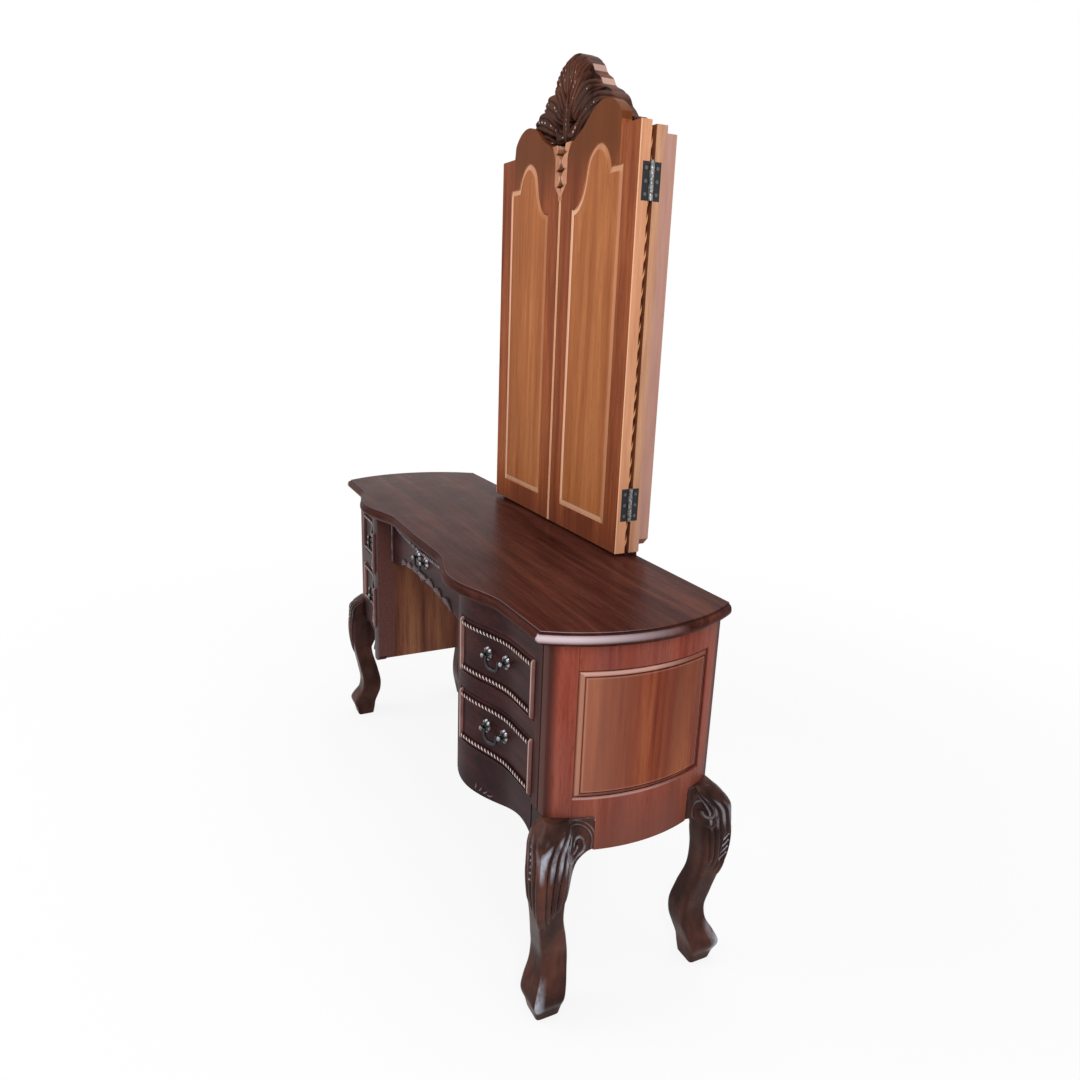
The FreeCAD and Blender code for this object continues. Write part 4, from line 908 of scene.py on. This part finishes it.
def makeSideDrawers():
    # Each front is trimmed with two ropes and two strips.
    x0 = plan.kneehole + plan.side + plan.drawerGap
    x1 = plan.caseHalfLength - plan.post - drawerLook.postGap
    for level in ("upper", "lower"):
        low, high = (corner.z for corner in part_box(f"right_{level}_drawer_front"))
        label, body = "{0}" + level.capitalize(), "{0}_" + level + "_drawer"
        inset = drawerLook.ropeInset
        board = frontBoard(caseFront, x0, x1, low, high)
        ropes, strips = drawerTrims(caseFront, x0, x1, (low + inset, high - inset), low + 0.001, high - 0.001)
        makePair(label + "DrawerFront", board, "darkWood", body, body + "_front")
        makePair(label + "DrawerRopes", ropes, "ropeCarving", body, "", 80)
        makePair(label + "DrawerStrips", strips, "stripCarving", body)
        for hand, sign in (("right", 1), ("left", -1)):
            makePull(label.format(hand), body.format(hand), caseFront, sign * pullLook.place,
                     (low + high) / 2 + pullLook.rise)


centreLook = Look(
    archRise=0.05, pullDrop=0.029, band=0.004,
    # share of the half width, then of the arch's rise
    arch=[(0.0, 1.0), (0.14, 0.86), (0.36, 0.8), (0.55, 0.62), (0.72, 0.34), (0.9, 0.03), (1.0, 0.0)])


def makeCentreDrawer():
    # Front with an arched lower edge: fall within band of the nearest edge.
    low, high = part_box("centre_drawer_front")
    half, top, body = high.x, high.z, "centre_drawer"
    x = softEdges(90, -half, half, 0.003)
    arch = smoothCurve(np.abs(x) / half, *np.array(centreLook.arch).T)[:, None]
    arch = low.z + centreLook.archRise * arch
    z = arch + (top - arch) * softEdges(12, 0.0, 1.0, 0.05)
    px = x[:, None] + 0 * z
    fall = edgeDrop(np.minimum(half - np.abs(px), np.minimum(z - arch, top - z)), centreLook.band)
    ropes, strips = drawerTrims(centreFront, -half, half, [top - drawerLook.ropeInset], low.z + 0.002,
                                top - 0.001)
    makePiece("centreDrawerFront", frontPlate(centreFront, px, z, fall), "darkWood", body,
              "centre_drawer_front")
    makePiece("centreDrawerRope", ropes, "legCarving", body, "", 80)
    makePiece("centreDrawerStrips", strips, "legCarving", body)
    makePull("centre", body, centreFront, 0.0, top - centreLook.pullDrop)


makeSideDrawers()
makeCentreDrawer()
print("drawers made")


apronLook = Look(
    flutes=4, place=0.38, pitch=0.0115, root=0.3225, rootStep=0.001, tip=0.3365, tipStep=-0.0015, lean=0.002,
    leanStep=0.005, width=0.0022, rise=0.003, bend=-0.12)
archLook = Look(
    under=0.004, leaves=5, rootSpread=0.007, tipSpread=0.032, up=0.008, down=0.014, width=0.0055, rise=0.006,
    sideWidth=0.0075, sideBend=0.14, sideRun=0.05,
    # reach from the middle and drop of the leaves along the arch
    side=[(0.08, 0.004), (0.13, 0.014), (0.18, 0.026)])
facing = np.array([0, -1.0, 0])


def leafLobe(surface, root, tip, normal, width, rise, bend, ribs, base=0.003):
    # One carved leaf on a front, from root to tip in (x, z): half width w * sin(pi * t ^ 0.75) along
    # the bent midline, crowned across with ribs + 1 shallow channels, closed by a flat back; the relief
    # paints highlights on the crowns and shade in the channels.
    root, tip = (np.array([x, float(surface(np.array(x))), z]) for x, z in (root, tip))
    run = tip - root
    t, s = np.linspace(0.0, 1.0, 40), np.linspace(-1, 1, 25)
    side = unit(np.cross(normal, run))
    w = width * np.sin(np.pi * np.clip(t, 0.02, 0.985) ** 0.75) ** 0.8 * (1 + 0.1 * np.sin(t * 19))
    mid = root + run * t[:, None] + side * (bend * np.linalg.norm(run) * np.sin(np.pi * t))[:, None]
    crown = np.sqrt(np.clip(1 - s ** 2, 0, 1)) ** 0.6
    channel = np.abs(np.cos(np.pi * ribs * s / 2))
    height = rise * (0.35 + 0.65 * np.sin(np.pi * t ** 0.6))[:, None] * crown * (0.72 + 0.28 * channel)
    flat = mid[:, None] + side * (w[:, None] * s)[..., None]
    return shell(withRelief(flat + normal * height[..., None], crown * (channel * 1.6 - 0.5)),
                 withRelief(flat - normal * base))


def makeApronCarving():
    # Curved flutes that fan out low on each apron.
    look, parts = apronLook, []
    for k in range(look.flutes):
        x = look.place + look.pitch * k
        parts.append(leafLobe(caseFront, (x, look.root + look.rootStep * k),
                              (x + look.lean + look.leanStep * k, look.tip + look.tipStep * k),
                              np.array([0.05, -1.0, 0]), look.width, look.rise, look.bend, 1))
    makePair("{0}ApronCarving", joined(*parts), "apronCarving", "table", "", 60)


def makeDrawerCarving():
    # Leaves that spread from the middle of the arch and hang under it.
    look, parts = archLook, []
    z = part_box("centre_drawer_front")[0].z + centreLook.archRise + look.under
    for spread in np.linspace(-1, 1, look.leaves):
        tipHeight = z - look.down + look.down * abs(spread)
        parts.append(leafLobe(centreFront, (look.rootSpread * spread, z + look.up),
                              (look.tipSpread * spread, tipHeight), facing, look.width, look.rise, 0.0, 1))
    for sign in (-1, 1):
        for reach, drop in look.side:
            parts.append(leafLobe(centreFront, (sign * (reach - look.sideRun), z - drop * 0.35),
                                  (sign * reach, z - drop - 0.002), facing, look.sideWidth, look.rise,
                                  look.sideBend * sign, 3))
    makePiece("centreDrawerCarving", joined(*parts), "apronCarving", "centre_drawer", "", 60)


makeApronCarving()
makeDrawerCarving()
print("carvings made")


endLook = Look(
    low=0.435, high=0.68, front=-0.1145, rear=0.1575, railLow=0.328, seam=0.3915, railFront=-0.0734,
    railRear=0.1326, arris=0.0016, thickness=0.02, panelThickness=0.015, sideGap=0.0002, litBand=0.0025,
    # distance from the opening's edge, then depth under the frame's face
    profile=[
        (0.0, 0.0055), (0.0012, 0.006), (0.002, 0.0058), (0.0026, 0.0046), (0.0045, 0.0032), (0.007, 0.0014),
        (0.0095, 0.0001), (0.0104, 0.0), (0.0108, 0.0016), (0.0118, 0.0016), (0.0124, -0.0002),
        (0.0134, -0.0008), (0.016, -0.001)],
    # relief by that distance: painted shade in the hollows, the bevel's share of light, and a painted
    # highlight on the field's arris
    hollows=[
        [0.0, 0.0021, 0.003, 0.0098, 0.0105, 0.0119, 0.0126, 0.0145],
        [-1.0, -1.0, 0.0, 0.0, -0.8, -0.8, 0.0, 0.0]],
    bevel=[[0.0, 0.0024, 0.0044, 0.0088, 0.0102], [0, 0, 1, 0.9, 0]],
    field=[[0.0122, 0.0128, 0.0145], [0, 0.35, 0]],
    # light of the bevels at the front, rear, foot and top
    light=np.array([0.26, 0.05, -0.3, 0.9]))


def bowedPlate(py, pz, fall, thickness, relief):
    # Plate on the bowed end, its face fall behind the end's surface.
    reach = endReach(py)
    return shell(withRelief(np.stack([reach - fall, py, pz], -1), relief),
                 withRelief(np.stack([reach - thickness, py, pz], -1)))


def bowedBoard(y0, y1, z0, z1, soft, light=(0, 0)):
    # Board on the bowed end. soft rounds its arrises at y0, y1, z0 and z1; light is the share of
    # light beside z0 and z1, which fades towards the back.
    thin, band = endLook.arris, endLook.litBand
    py, pz = np.broadcast_arrays(softEdges(36, y0, y1, thin)[:, None], softEdges(24, z0, z1, 0.003))
    fall = 0 * py
    for rounded, distance in zip(soft, (py - y0, y1 - py, pz - z0, z1 - pz)):
        fall = np.maximum(fall, rounded * edgeDrop(distance, thin))
    lit = light[0] * np.clip(1 - (pz - z0) / band, 0, 1) + light[1] * np.clip(1 - (z1 - pz) / band, 0, 1)
    return bowedPlate(py, pz, fall, endLook.thickness, lit * ramp(0.13 - py, 0.12))


def makeEnds():
    # Two stiles and two rails round the opening, and a panel whose depth follows the profile with
    # the distance from the nearest side; its top and front bevels catch the light.
    size = endLook
    front, rear, low, high, seam = (size[key] for key in ("front", "rear", "low", "high", "seam"))
    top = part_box("right_end_frame")[1].z
    y0, y1 = caseCorner + size.sideGap, plan.caseBack - size.sideGap
    frameBoards = [bowedBoard(y0, front, seam, top, (1, 1, 1, 0), (1.0, 0)),
                   bowedBoard(rear, y1, seam, top, (1, 1, 1, 0), (0.2, 0)),
                   bowedBoard(front, rear, high, top, (0, 0, 1, 0)),
                   bowedBoard(front, rear, seam, low, (0, 0, 0, 1), (0, 1.0)),
                   bowedBoard(size.railFront, size.railRear, size.railLow, seam, (0, 0, 1, 0)),
                   bowedBoard(front, size.railFront, seam - 0.0005, seam, (0, 0, 0, 0), (0.9, 0.9))]
    knots, depths = np.array(size.profile).T
    lanes = [np.r_[start + knots, np.linspace(start + 0.018, end - 0.018, 60), (end - knots)[::-1]]
             for start, end in ((front, rear), (low, high))]
    py, pz = np.meshgrid(*lanes, indexing="ij")
    sides = np.stack([py - front, rear - py, pz - low, high - pz])
    nearest, distance = sides.argmin(0), sides.min(0)
    light = size.light[nearest] * np.where(nearest == 3, np.clip((0.12 - py) / 0.1, 0.15, 1), 1)
    share = np.interp(distance, *size.hollows) + np.interp(distance, *size.bevel) * light
    share = share + np.interp(distance, *size.field)
    panel = bowedPlate(py, pz, np.interp(distance, knots, depths), size.panelThickness, share)
    makePair("{0}EndFrame", joined(*frameBoards), "endWood", "table", "{0}_end_frame", 30)
    makePair("{0}EndPanel", panel, "endPanelWood", "table", "{0}_end_panel", 30)


makeEnds()
print("ends made")


crestLook = Look(
    base=1.606, front=0.1734, back=0.204, behindWings=0.1515, rim=0.006, half=0.25, middle=(0.0, 1.624),
    centre=(0.0, 1.66), rays=300, rings=70, waves=15, waveDepth=0.0025, sawnFrom=1.712, sawn=0.82,
    outline=[
        (0.25, 1.612), (0.246, 1.627), (0.21, 1.64), (0.2, 1.65), (0.191, 1.658), (0.183, 1.667),
        (0.176, 1.676), (0.165, 1.686), (0.15, 1.695), (0.128, 1.705), (0.112, 1.717), (0.106, 1.724),
        (0.092, 1.735), (0.076, 1.746), (0.07, 1.755), (0.061, 1.765), (0.04, 1.777), (0.014, 1.789),
        (0.0, 1.79)],
    # root, tip, half width, rise, bend and ribs of the leaves, each with its mirror image
    leaves=[
        ((0.012, 1.668), (0.075, 1.742), 0.026, 0.02, 0.1, 4),
        ((0.02, 1.66), (0.135, 1.708), 0.026, 0.024, 0.14, 3),
        ((0.04, 1.64), (0.19, 1.672), 0.024, 0.022, 0.12, 3),
        ((0.06, 1.622), (0.246, 1.634), 0.018, 0.018, 0.06, 3),
        ((0.0, 1.628), (0.055, 1.665), 0.018, 0.021, -0.25, 2)],
    spine=((0.0, 1.612), (0.0, 1.716), 0.016, 0.028, 0.0, 2),
    # five lobes that lean out from the foot; spreads are per sine, height per cosine of the lean
    plume=Look(
        foot=1.705, footSpread=0.02, tipSpread=0.12, height=0.092, lean=0.62, width=0.026, rise=0.024,
        riseStep=0.004, ribs=4),
    scroll=Look(place=(0.2, 1.648), radius=0.019, rise=0.022))


def crestLeaf(x, z, root, tip, width, rise, bend, ribs):
    # Relief of one leaf and its rib's crown: t along the leaf, q across it in half widths.
    dx, dz = tip[0] - root[0], tip[1] - root[1]
    length = math.hypot(dx, dz)
    t = ((x - root[0]) * dx + (z - root[1]) * dz) / length ** 2
    held = np.clip(t, 0, 1)
    s = ((z - root[1]) * dx - (x - root[0]) * dz) / length - bend * length * np.sin(np.pi * held)
    taper = np.sin(np.pi * held ** 0.8)
    q = s / (width * taper ** 0.6 + 1e-6)
    crown = np.sqrt(np.clip(1 - q ** 2, 0, 1)) ** 0.7
    rib = np.abs(np.cos(np.pi * ribs * q / 2))
    inside = (t > 0) & (t < 1) & (np.abs(q) < 1)
    lifted = rise * crown * (0.72 + 0.28 * rib) * (0.4 + 0.6 * taper)
    return np.where(inside, lifted, 0), np.where(inside, rib * crown, 0)


def crestHeight(x, z):
    # Relief over the crest's plane: a plume of five ribbed lobes over two tiers of leaves, a curl in
    # the middle and a scroll near each end; the highest of them at each point, and its rib's crown.
    height, crown = 0 * x, 0 * x
    plume, leaves = crestLook.plume, []
    for k in range(-2, 3):
        out, up = math.sin(k / 2 * plume.lean), math.cos(k / 2 * plume.lean)
        tip = plume.tipSpread * out, plume.foot + plume.height * up
        leaves.append(((plume.footSpread * out, plume.foot), tip, plume.width,
                       plume.rise - plume.riseStep * abs(k), 0.0, plume.ribs))
    for sign in (-1, 1):
        leaves += [((sign * root[0], root[1]), (sign * tip[0], tip[1]), width, rise, sign * bend, ribs)
                   for root, tip, width, rise, bend, ribs in crestLook.leaves]
    heights = [crestLeaf(x, z, *leaf) for leaf in leaves + [crestLook.spine]]
    scroll = crestLook.scroll
    for sign in (-1, 1):
        a, b = (x - sign * scroll.place[0]) / scroll.radius, (z - scroll.place[1]) / scroll.radius
        ridge = volute(sign * a, b, 2.0, 0.14)
        boss = scroll.rise * np.sqrt(np.clip(1 - np.hypot(a, b) ** 4, 0, 1)) * (0.5 + 0.5 * ridge)
        heights.append((boss, ridge))
    for lifted, rib in heights:
        crown = np.where(lifted > height, rib, crown)
        height = np.maximum(height, lifted)
    return height, crown


def makeCrest():
    # Polar grid from the silhouette to the middle; depth = board front - relief. Painted glints lie in
    # clusters on the ribs with painted shade between them; the steep parts of the upper rim are painted
    # pale, as lit side walls.
    size = crestLook
    half = np.array(size.outline)
    ring = smoothPath(np.concatenate([half, (half * [-1, 1])[::-1][1:]]), size.rays)
    along = np.linspace(0, np.pi, len(ring))
    wave = size.waveDepth * np.abs(np.sin(size.waves * along)) * np.sin(along) ** 0.3
    ring = ring + unit(ring - size.middle) * wave[:, None]
    floor = np.stack([np.linspace(-size.half, size.half, 120)[1:-1], np.full(118, size.base - 0.0005)], -1)
    ring = np.concatenate([ring, floor])
    centre = np.array(size.centre)
    r = 1 - np.linspace(0, 1, size.rings)[:-1]
    x, z = np.moveaxis(centre + (ring - centre)[None] * r[:, None, None], -1, 0)
    edge = np.clip((1 - r) * 7, 0, 1)[:, None]
    lifted, crown = crestHeight(x, z)
    depth = size.front - size.rim * np.sqrt(edge) - lifted * edge ** 0.5
    spots = np.clip(np.sin(x * 410.0) * np.sin(z * 330.0 + x * 90.0) * 1.8 - 0.2, 0, 1)
    spots = spots * (np.sin(x * 67.0 + z * 41.0 + 0.6) * np.sin(z * 83.0 - x * 35.0) > 0.12)
    share = np.where(crown > 0.72, (crown - 0.72) * 5 * spots, np.minimum(crown * 1.1 - 0.7, 0))
    steep = np.abs(unit(np.gradient(ring, axis=0))[:, 1])
    share[0] = ramp(steep - 0.55, 0.2) * (ring[:, 1] > size.sawnFrom) * size.sawn
    front = withRelief(onGrid(np.maximum(depth, size.behindWings), x, z), share)
    rim, inner = (withRelief(onGrid(np.full(len(ring), size.back), *flat.T), relief)[None]
                  for flat, relief in ((ring, share[0]), (centre + (ring - centre) * 0.997, 0.0)))
    top = float(size.front - size.rim - crestHeight(*centre)[0])
    shape = disc(np.concatenate([inner, rim, front]), (centre[0], top, centre[1]),
                 (centre[0], size.back, centre[1]))
    makePiece("carvedCrest", shape, "crestCarving", "table", "crest", 70)


makeCrest()
print("crest made")


wingLook = Look(
    stile=0.056, rail=0.052, low=0.768, panelShoulder=1.473, panelRise=0.12, panelStep=0.217, gap=0.0015,
    faceY=0.1448, backY=0.1684, half=0.318,
    # points on the free side, foot, hinge side, step and head of the opening
    counts=(40, 20, 40, 8, 60),
    cyma=[
        (0.0, 0.0), (0.12, 0.03), (0.22, 0.13), (0.31, 0.35), (0.36, 0.6), (0.41, 0.78), (0.52, 0.93),
        (0.68, 1.0), (0.83, 0.92), (0.94, 0.76), (1.0, 0.58)])


def lines(corners, counts):
    # Straight runs between corners, each without its last point.
    return [np.linspace(*ends, count, endpoint=False) for *ends, count in zip(corners, corners[1:], counts)]


def panelOutline():
    # Right wing's panel opening in (x, z): straight sides, a cyma head up to a step.
    size = wingLook
    x0, x1, low = size.stile + size.gap, size.half - size.stile, size.low + size.rail
    head = smoothPath(np.array(size.cyma) * [size.panelStep - x0, size.panelRise]
                      + [x0, size.panelShoulder], size.counts[-1])
    side = size.panelShoulder + size.panelRise * size.cyma[-1][1]
    corners = [(x0, head[0, 1]), (x0, low), (x1, low), (x1, side), head[-1]]
    return np.concatenate([*lines(corners, size.counts), head[::-1][:-1]])


def insetRing(ring, distance):
    # Moves each point of an outline that runs anticlockwise inwards along the mean of its edges'
    # normals, mitred.
    before, after = ring - np.roll(ring, 1, 0), np.roll(ring, -1, 0) - ring
    first, second = (unit(edge[:, ::-1] * [-1, 1]) for edge in (before, after))
    bisector = unit(first + second)
    mitre = np.clip(1 / np.maximum((bisector * first).sum(-1, keepdims=True), 0.3), 1, 1.6)
    return ring + bisector * mitre * distance


# distance from the opening's edge, depth under the frame's face, share of light and share times lights
panelLook = Look(
    profile=[
        (-0.0004, 0.012, 0.0, 0.0), (-0.0004, 0.0, 0.0, 0.0), (0.0006, 0.0, -0.3, 1.2),
        (0.0014, 0.0014, -0.9, 1.6), (0.0021, 0.0014, -0.6, 1.4), (0.0028, 0.0012, 0.0, 0.9),
        (0.0115, -0.0002, 0.0, 1.0), (0.0128, -0.0004, 0.0, 0.9), (0.0133, -0.0016, 0.0, 0.4),
        (0.0146, -0.0022, 0.0, 0.1), (0.0156, -0.0022, 0.0, 0.0), (0.0176, -0.0022, 0.0, 0.0)],
    # share of the light on the free side, foot, hinge side, step, and each end of the head
    right=(0.9, 0.6, 0.16, 0.32, 0.04, 0.6), left=(0.1, 0.5, 0.9, 0.4, 0.5, 0.04))


def wingPanel(lights):
    # Raised panel: groove, sloping bevel, then the field, inset from the opening by the profile and
    # held within it where its corners would fold over.
    ring, counts = panelOutline(), wingLook.counts[:4]
    around = np.r_[np.repeat(lights[:4], counts), np.linspace(*lights[4:], len(ring) - sum(counts))]
    free, hinge = slice(0, counts[0]), slice(sum(counts[:2]), sum(counts[:3]))
    sections = []
    for distance, depth, light, extra in panelLook.profile:
        x, z = insetRing(ring, distance).T
        low, high = ring.min(0) + distance, ring.max(0) - distance
        x, z = np.clip(x, low[0], high[0]), np.maximum(z, low[1])
        z[free] = np.minimum(z[free], z[0])
        z[hinge] = np.minimum(z[hinge], ring[hinge.stop, 1] - distance)
        flat = onGrid(np.full(len(x), wingLook.faceY + depth), x, z)
        sections.append(withRelief(flat, light + extra * around))
    return loft(np.stack(sections))


def makeWingPanels():
    # The light falls otherwise on each, so the left one isn't a plain mirror image.
    left = mirrored(wingPanel(panelLook.left))
    for hand, shape in (("right", wingPanel(panelLook.right)), ("left", left)):
        makePiece(hand + "WingPanel", shape, "panelWood", hand + "_wing",
                  hand + "_wing_panel", 25)


notchLook = Look(
    low=1.497, high=1.612, depth=0.0225, least=0.0015, flare=0.018, flareFrom=0.72, scallops=3.4, start=0.15,
    swell=0.0195, bead=0.0022, hollow=0.0018, nearest=0.0011, proud=0.001, behind=0.004)


def makeNotchCarvings():
    # Three scallops and a scroll on each wing's free edge below its shoulder: the edge's outline
    # swells as |sin|, through the wing's thickness. The relief paints highlights on the swells and
    # shade between them.
    look, z = notchLook, np.linspace(notchLook.low, notchLook.high, 110)[:, None]
    share = (z - z[0]) / (z[-1] - z[0])
    base = look.depth * ramp(z - look.low - 0.008, 0.025) + look.least
    base = base + look.flare * ramp(share - look.flareFrom, 1 - look.flareFrom) ** 1.6
    wave = np.abs(np.sin(np.pi * (share * look.scallops + look.start)))
    swell = look.swell * wave ** 0.55 * ramp(z - look.low - 0.005, 0.012)
    across = np.linspace(-1, 1, 25)
    bead = look.bead * (1 - across ** 2) * (0.6 + 0.4 * np.cos(share * 60))
    bead = bead + look.hollow * np.abs(across) ** 6
    x = np.maximum(np.maximum(base - swell - 0.002, 0.0012) - bead + look.hollow, look.nearest)
    front, back = wingLook.faceY, wingLook.backY
    y = (front + back) / 2 + across * ((back - front) / 2 + look.proud) + 0 * x
    rear = onGrid(y, np.maximum(base, look.behind) + look.behind + 0 * x, z + 0 * x)
    shape = shell(withRelief(onGrid(y, x, z + 0 * x), wave * 1.5 - 0.6), withRelief(rear))
    makePair("{0}WingScallops", shape, "paleCarving", "{0}_wing", "", 60)


mouldingLook = Look(
    pitch=0.016, outset=0.006, wingY=0.1684, wingRadius=0.0048, centreY=0.1794, centreRadius=0.0042,
    half=0.256, step=0.2, low=0.822, shoulder=1.508, rise=0.058, perPitch=6)
edgeRope = Look(low=0.775, high=1.6, count=420, x=0.3085, y=0.1747, radius=0.0034, swell=0.0008, pitch=0.034)


def ringRope(ring, y, radius):
    # Rope outside a closed outline in the XZ plane, in front of depth y.
    closed = insetRing(ring, -mouldingLook.outset)
    closed = np.concatenate([closed, closed[:1]])
    along = lengthAlong(closed)
    turns = max(round(along[-1] / mouldingLook.pitch), 1)
    count = turns * mouldingLook.perPitch
    at = np.linspace(0, along[-1], count, endpoint=False)
    path = onGrid(np.full(count, y), *[np.interp(at, along, column) for column in closed.T])
    tangent = unit(np.roll(path, -1, 0) - np.roll(path, 1, 0))
    side = unit(np.cross(tangent, facing))
    return hoop(twistedBead(path, side, facing + 0 * path, at / along[-1] * turns, radius))


def makeMirrorMouldings():
    # Rope round each glass, and an uneven one down each outer edge of the centre frame.
    size = mouldingLook
    wing = ringRope(panelOutline(), size.wingY, size.wingRadius)
    makePair("{0}WingMoulding", wing, "ropeCarving", "{0}_wing", "{0}_wing_moulding", 80)
    w, step, low, shoulder = (size[key] for key in ("half", "step", "low", "shoulder"))
    bend = np.linspace(step, -step, 60)
    head = np.stack([bend, shoulder + arc(bend, step, size.rise)], -1)
    sides = lines([(-w, shoulder), (-w, low), (w, low), (w, shoulder), (step, shoulder)], (40, 30, 40, 6))
    last = lines([(-step, shoulder), (-w, shoulder)], [6])[0][1:]
    centre = ringRope(np.concatenate([*sides, head, last]), size.centreY, size.centreRadius)
    makePiece("centreMoulding", centre, "ropeCarving", "table", "centre_moulding", 80)
    size = edgeRope
    z = np.linspace(size.low, size.high, size.count)
    path = onGrid(size.y + 0 * z, size.x + 0 * z, z)
    radius = size.radius + size.swell * np.sin(z * 31.0) * np.sin(z * 12.0 + 1.0)
    rope = openRope(path, np.array([1.0, 0, 0]) + 0 * path, facing + 0 * path, radius[:, None], size.pitch)
    makePair("{0}EdgeRope", rope, "edgeCarving", "table", "", 80)


makeWingPanels()
makeNotchCarvings()
makeMirrorMouldings()
print("mirror made")


nodeFinish = Look(
    sideWood=["inner_side"], frontWood=["front_frame"], postWood=["corner_posts"],
    darkWood=["pedestal_bottoms", "kneehole_rail", "mirror_plinth"],
    backWood=["pedestal_backs", "centre_backboard"], insideWood=["drawer_runners", "drawer_box"],
    wingWood=["mirror_supports", "wing_frame"], frameWood=["centre_frame"],
    silveredGlass=["centre_glass", "wing_glass"], hingeMetal=["fixed_hinge_leaves", "wing_hinge_leaves"],
    screwMetal=["hinge_pins", "fixed_screws", "wing_screws"])


def finishNodes():
    # Solids that no piece stands for get a material by the end of their name.
    for name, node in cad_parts.items():
        if not node.hide_render:
            material = next(key for key, ends in nodeFinish.items() if name.endswith(tuple(ends)))
            node.data.materials.clear()
            node.data.materials.append(finish[material])


finishNodes()


cameraLook = Look(place=(1.752, -0.757, 1.265), lens=27.557, azimuth=63.25, pitch=15.63, roll=-2.125)


def addObject(name, data):
    made = bpy.data.objects.new(name, data)
    bpy.context.scene.collection.objects.link(made)
    return made


def makeCamera():
    # Axes of the camera from the heading, the pitch and the roll.
    heading, pitch, roll = (math.radians(cameraLook[key]) for key in ("azimuth", "pitch", "roll"))
    level = math.cos(pitch)
    ahead = np.array([-math.sin(heading) * level, math.cos(heading) * level, -math.sin(pitch)])
    right = unit(np.cross(ahead, [0, 0, 1.0]))
    down = np.cross(ahead, right)
    along, across = math.cos(roll), math.sin(roll)
    right, down = right * along + down * across, down * along - right * across
    data = bpy.data.cameras.new("camera")
    data.sensor_width, data.lens = 36.0, cameraLook.lens
    data.clip_start, data.clip_end = 0.05, 50.0
    camera = addObject("camera", data)
    camera.matrix_world = Matrix([*np.stack([right, -down, -ahead, cameraLook.place], -1), (0, 0, 0, 1)])
    bpy.context.scene.camera = camera


floorLook = Look(reach=60.0, near=0.84, fadeFrom=1.1, fadeLength=1.4, colour=(0.86, 0.86, 0.86))


def makeFloor():
    # Pale floor: lit by the lamps, and white to the camera. The share of plain white grows from
    # near to 1 with the distance from the object, so the floor has no edge and keeps the shadow.
    reach, near = floorLook.reach, floorLook.near
    mesh = bpy.data.meshes.new("floor")
    corners = [(x * reach, y * reach, 0) for x, y in ((-1, -1), (1, -1), (1, 1), (-1, 1))]
    mesh.from_pydata(corners, [], [(0, 1, 2, 3)])
    graph = Graph("floor")
    seen = graph.out(graph.node("LightPath"), "Is Camera Ray")
    distance = graph.out(graph.node("VectorMath", {"operation": "LENGTH"}, {0: graph.where()}), "Value")
    share = near + (1 - near) * graph.limit((distance - floorLook.fadeFrom) / floorLook.fadeLength)
    lit = graph.node("Emission", {}, {"Color": (1, 1, 1), "Strength": 1.0})
    plain = graph.node("BsdfPrincipled", {}, {"Base Color": floorLook.colour, "Roughness": 0.9})
    mesh.materials.append(graph.show(
        graph.node("MixShader", {}, {0: seen * share, 1: graph.out(plain), 2: graph.out(lit)})))
    addObject("floor", mesh)


roomLook = Look(
    soft=0.55,
    # place, target, width, height and power
    lamps=Look(
        keyLamp=((3.2, -1.2, 2.6), (0.2, 0.0, 0.8), 1.6, 1.6, 55),
        frontLamp=((-1.2, -3.2, 2.4), (0.0, 0.0, 0.9), 2.2, 1.8, 55),
        overLamp=((0.3, 0.4, 3.6), (0.0, 0.0, 0.7), 2.5, 1.5, 30)))


def makeLamp(name, place, target, width, height, power):
    # Rectangle of light turned from its place to the target.
    data = bpy.data.lights.new(name, "AREA")
    data.shape, data.size, data.size_y, data.energy = "RECTANGLE", width, height, power
    lamp = addObject(name, data)
    lamp.location = place
    lamp.rotation_euler = (Vector(target) - Vector(place)).to_track_quat("-Z", "Y").to_euler()


def makeWorld():
    # White to the camera and in reflections, a plain soft level for everything else.
    graph = Graph("studio", bpy.data.worlds)
    rays = graph.node("LightPath")
    share = graph.out(rays, "Is Camera Ray")
    for kind in ("Is Glossy Ray", "Is Transmission Ray"):
        share = graph.maths("MAXIMUM", share, graph.out(rays, kind))
    soft, white = (graph.out(graph.node("Background", {}, {0: (1, 1, 1), 1: strength}))
                   for strength in (roomLook.soft, 1.0))
    mixed = graph.node("MixShader", {}, {0: share, 1: soft, 2: white})
    bpy.context.scene.world = graph.show(mixed, "OutputWorld")


makeCamera()
makeFloor()
makeWorld()
for name, values in roomLook.lamps.items():
    makeLamp(name, *values)
bpy.context.scene.view_settings.view_transform = "Standard"
print("studio made")
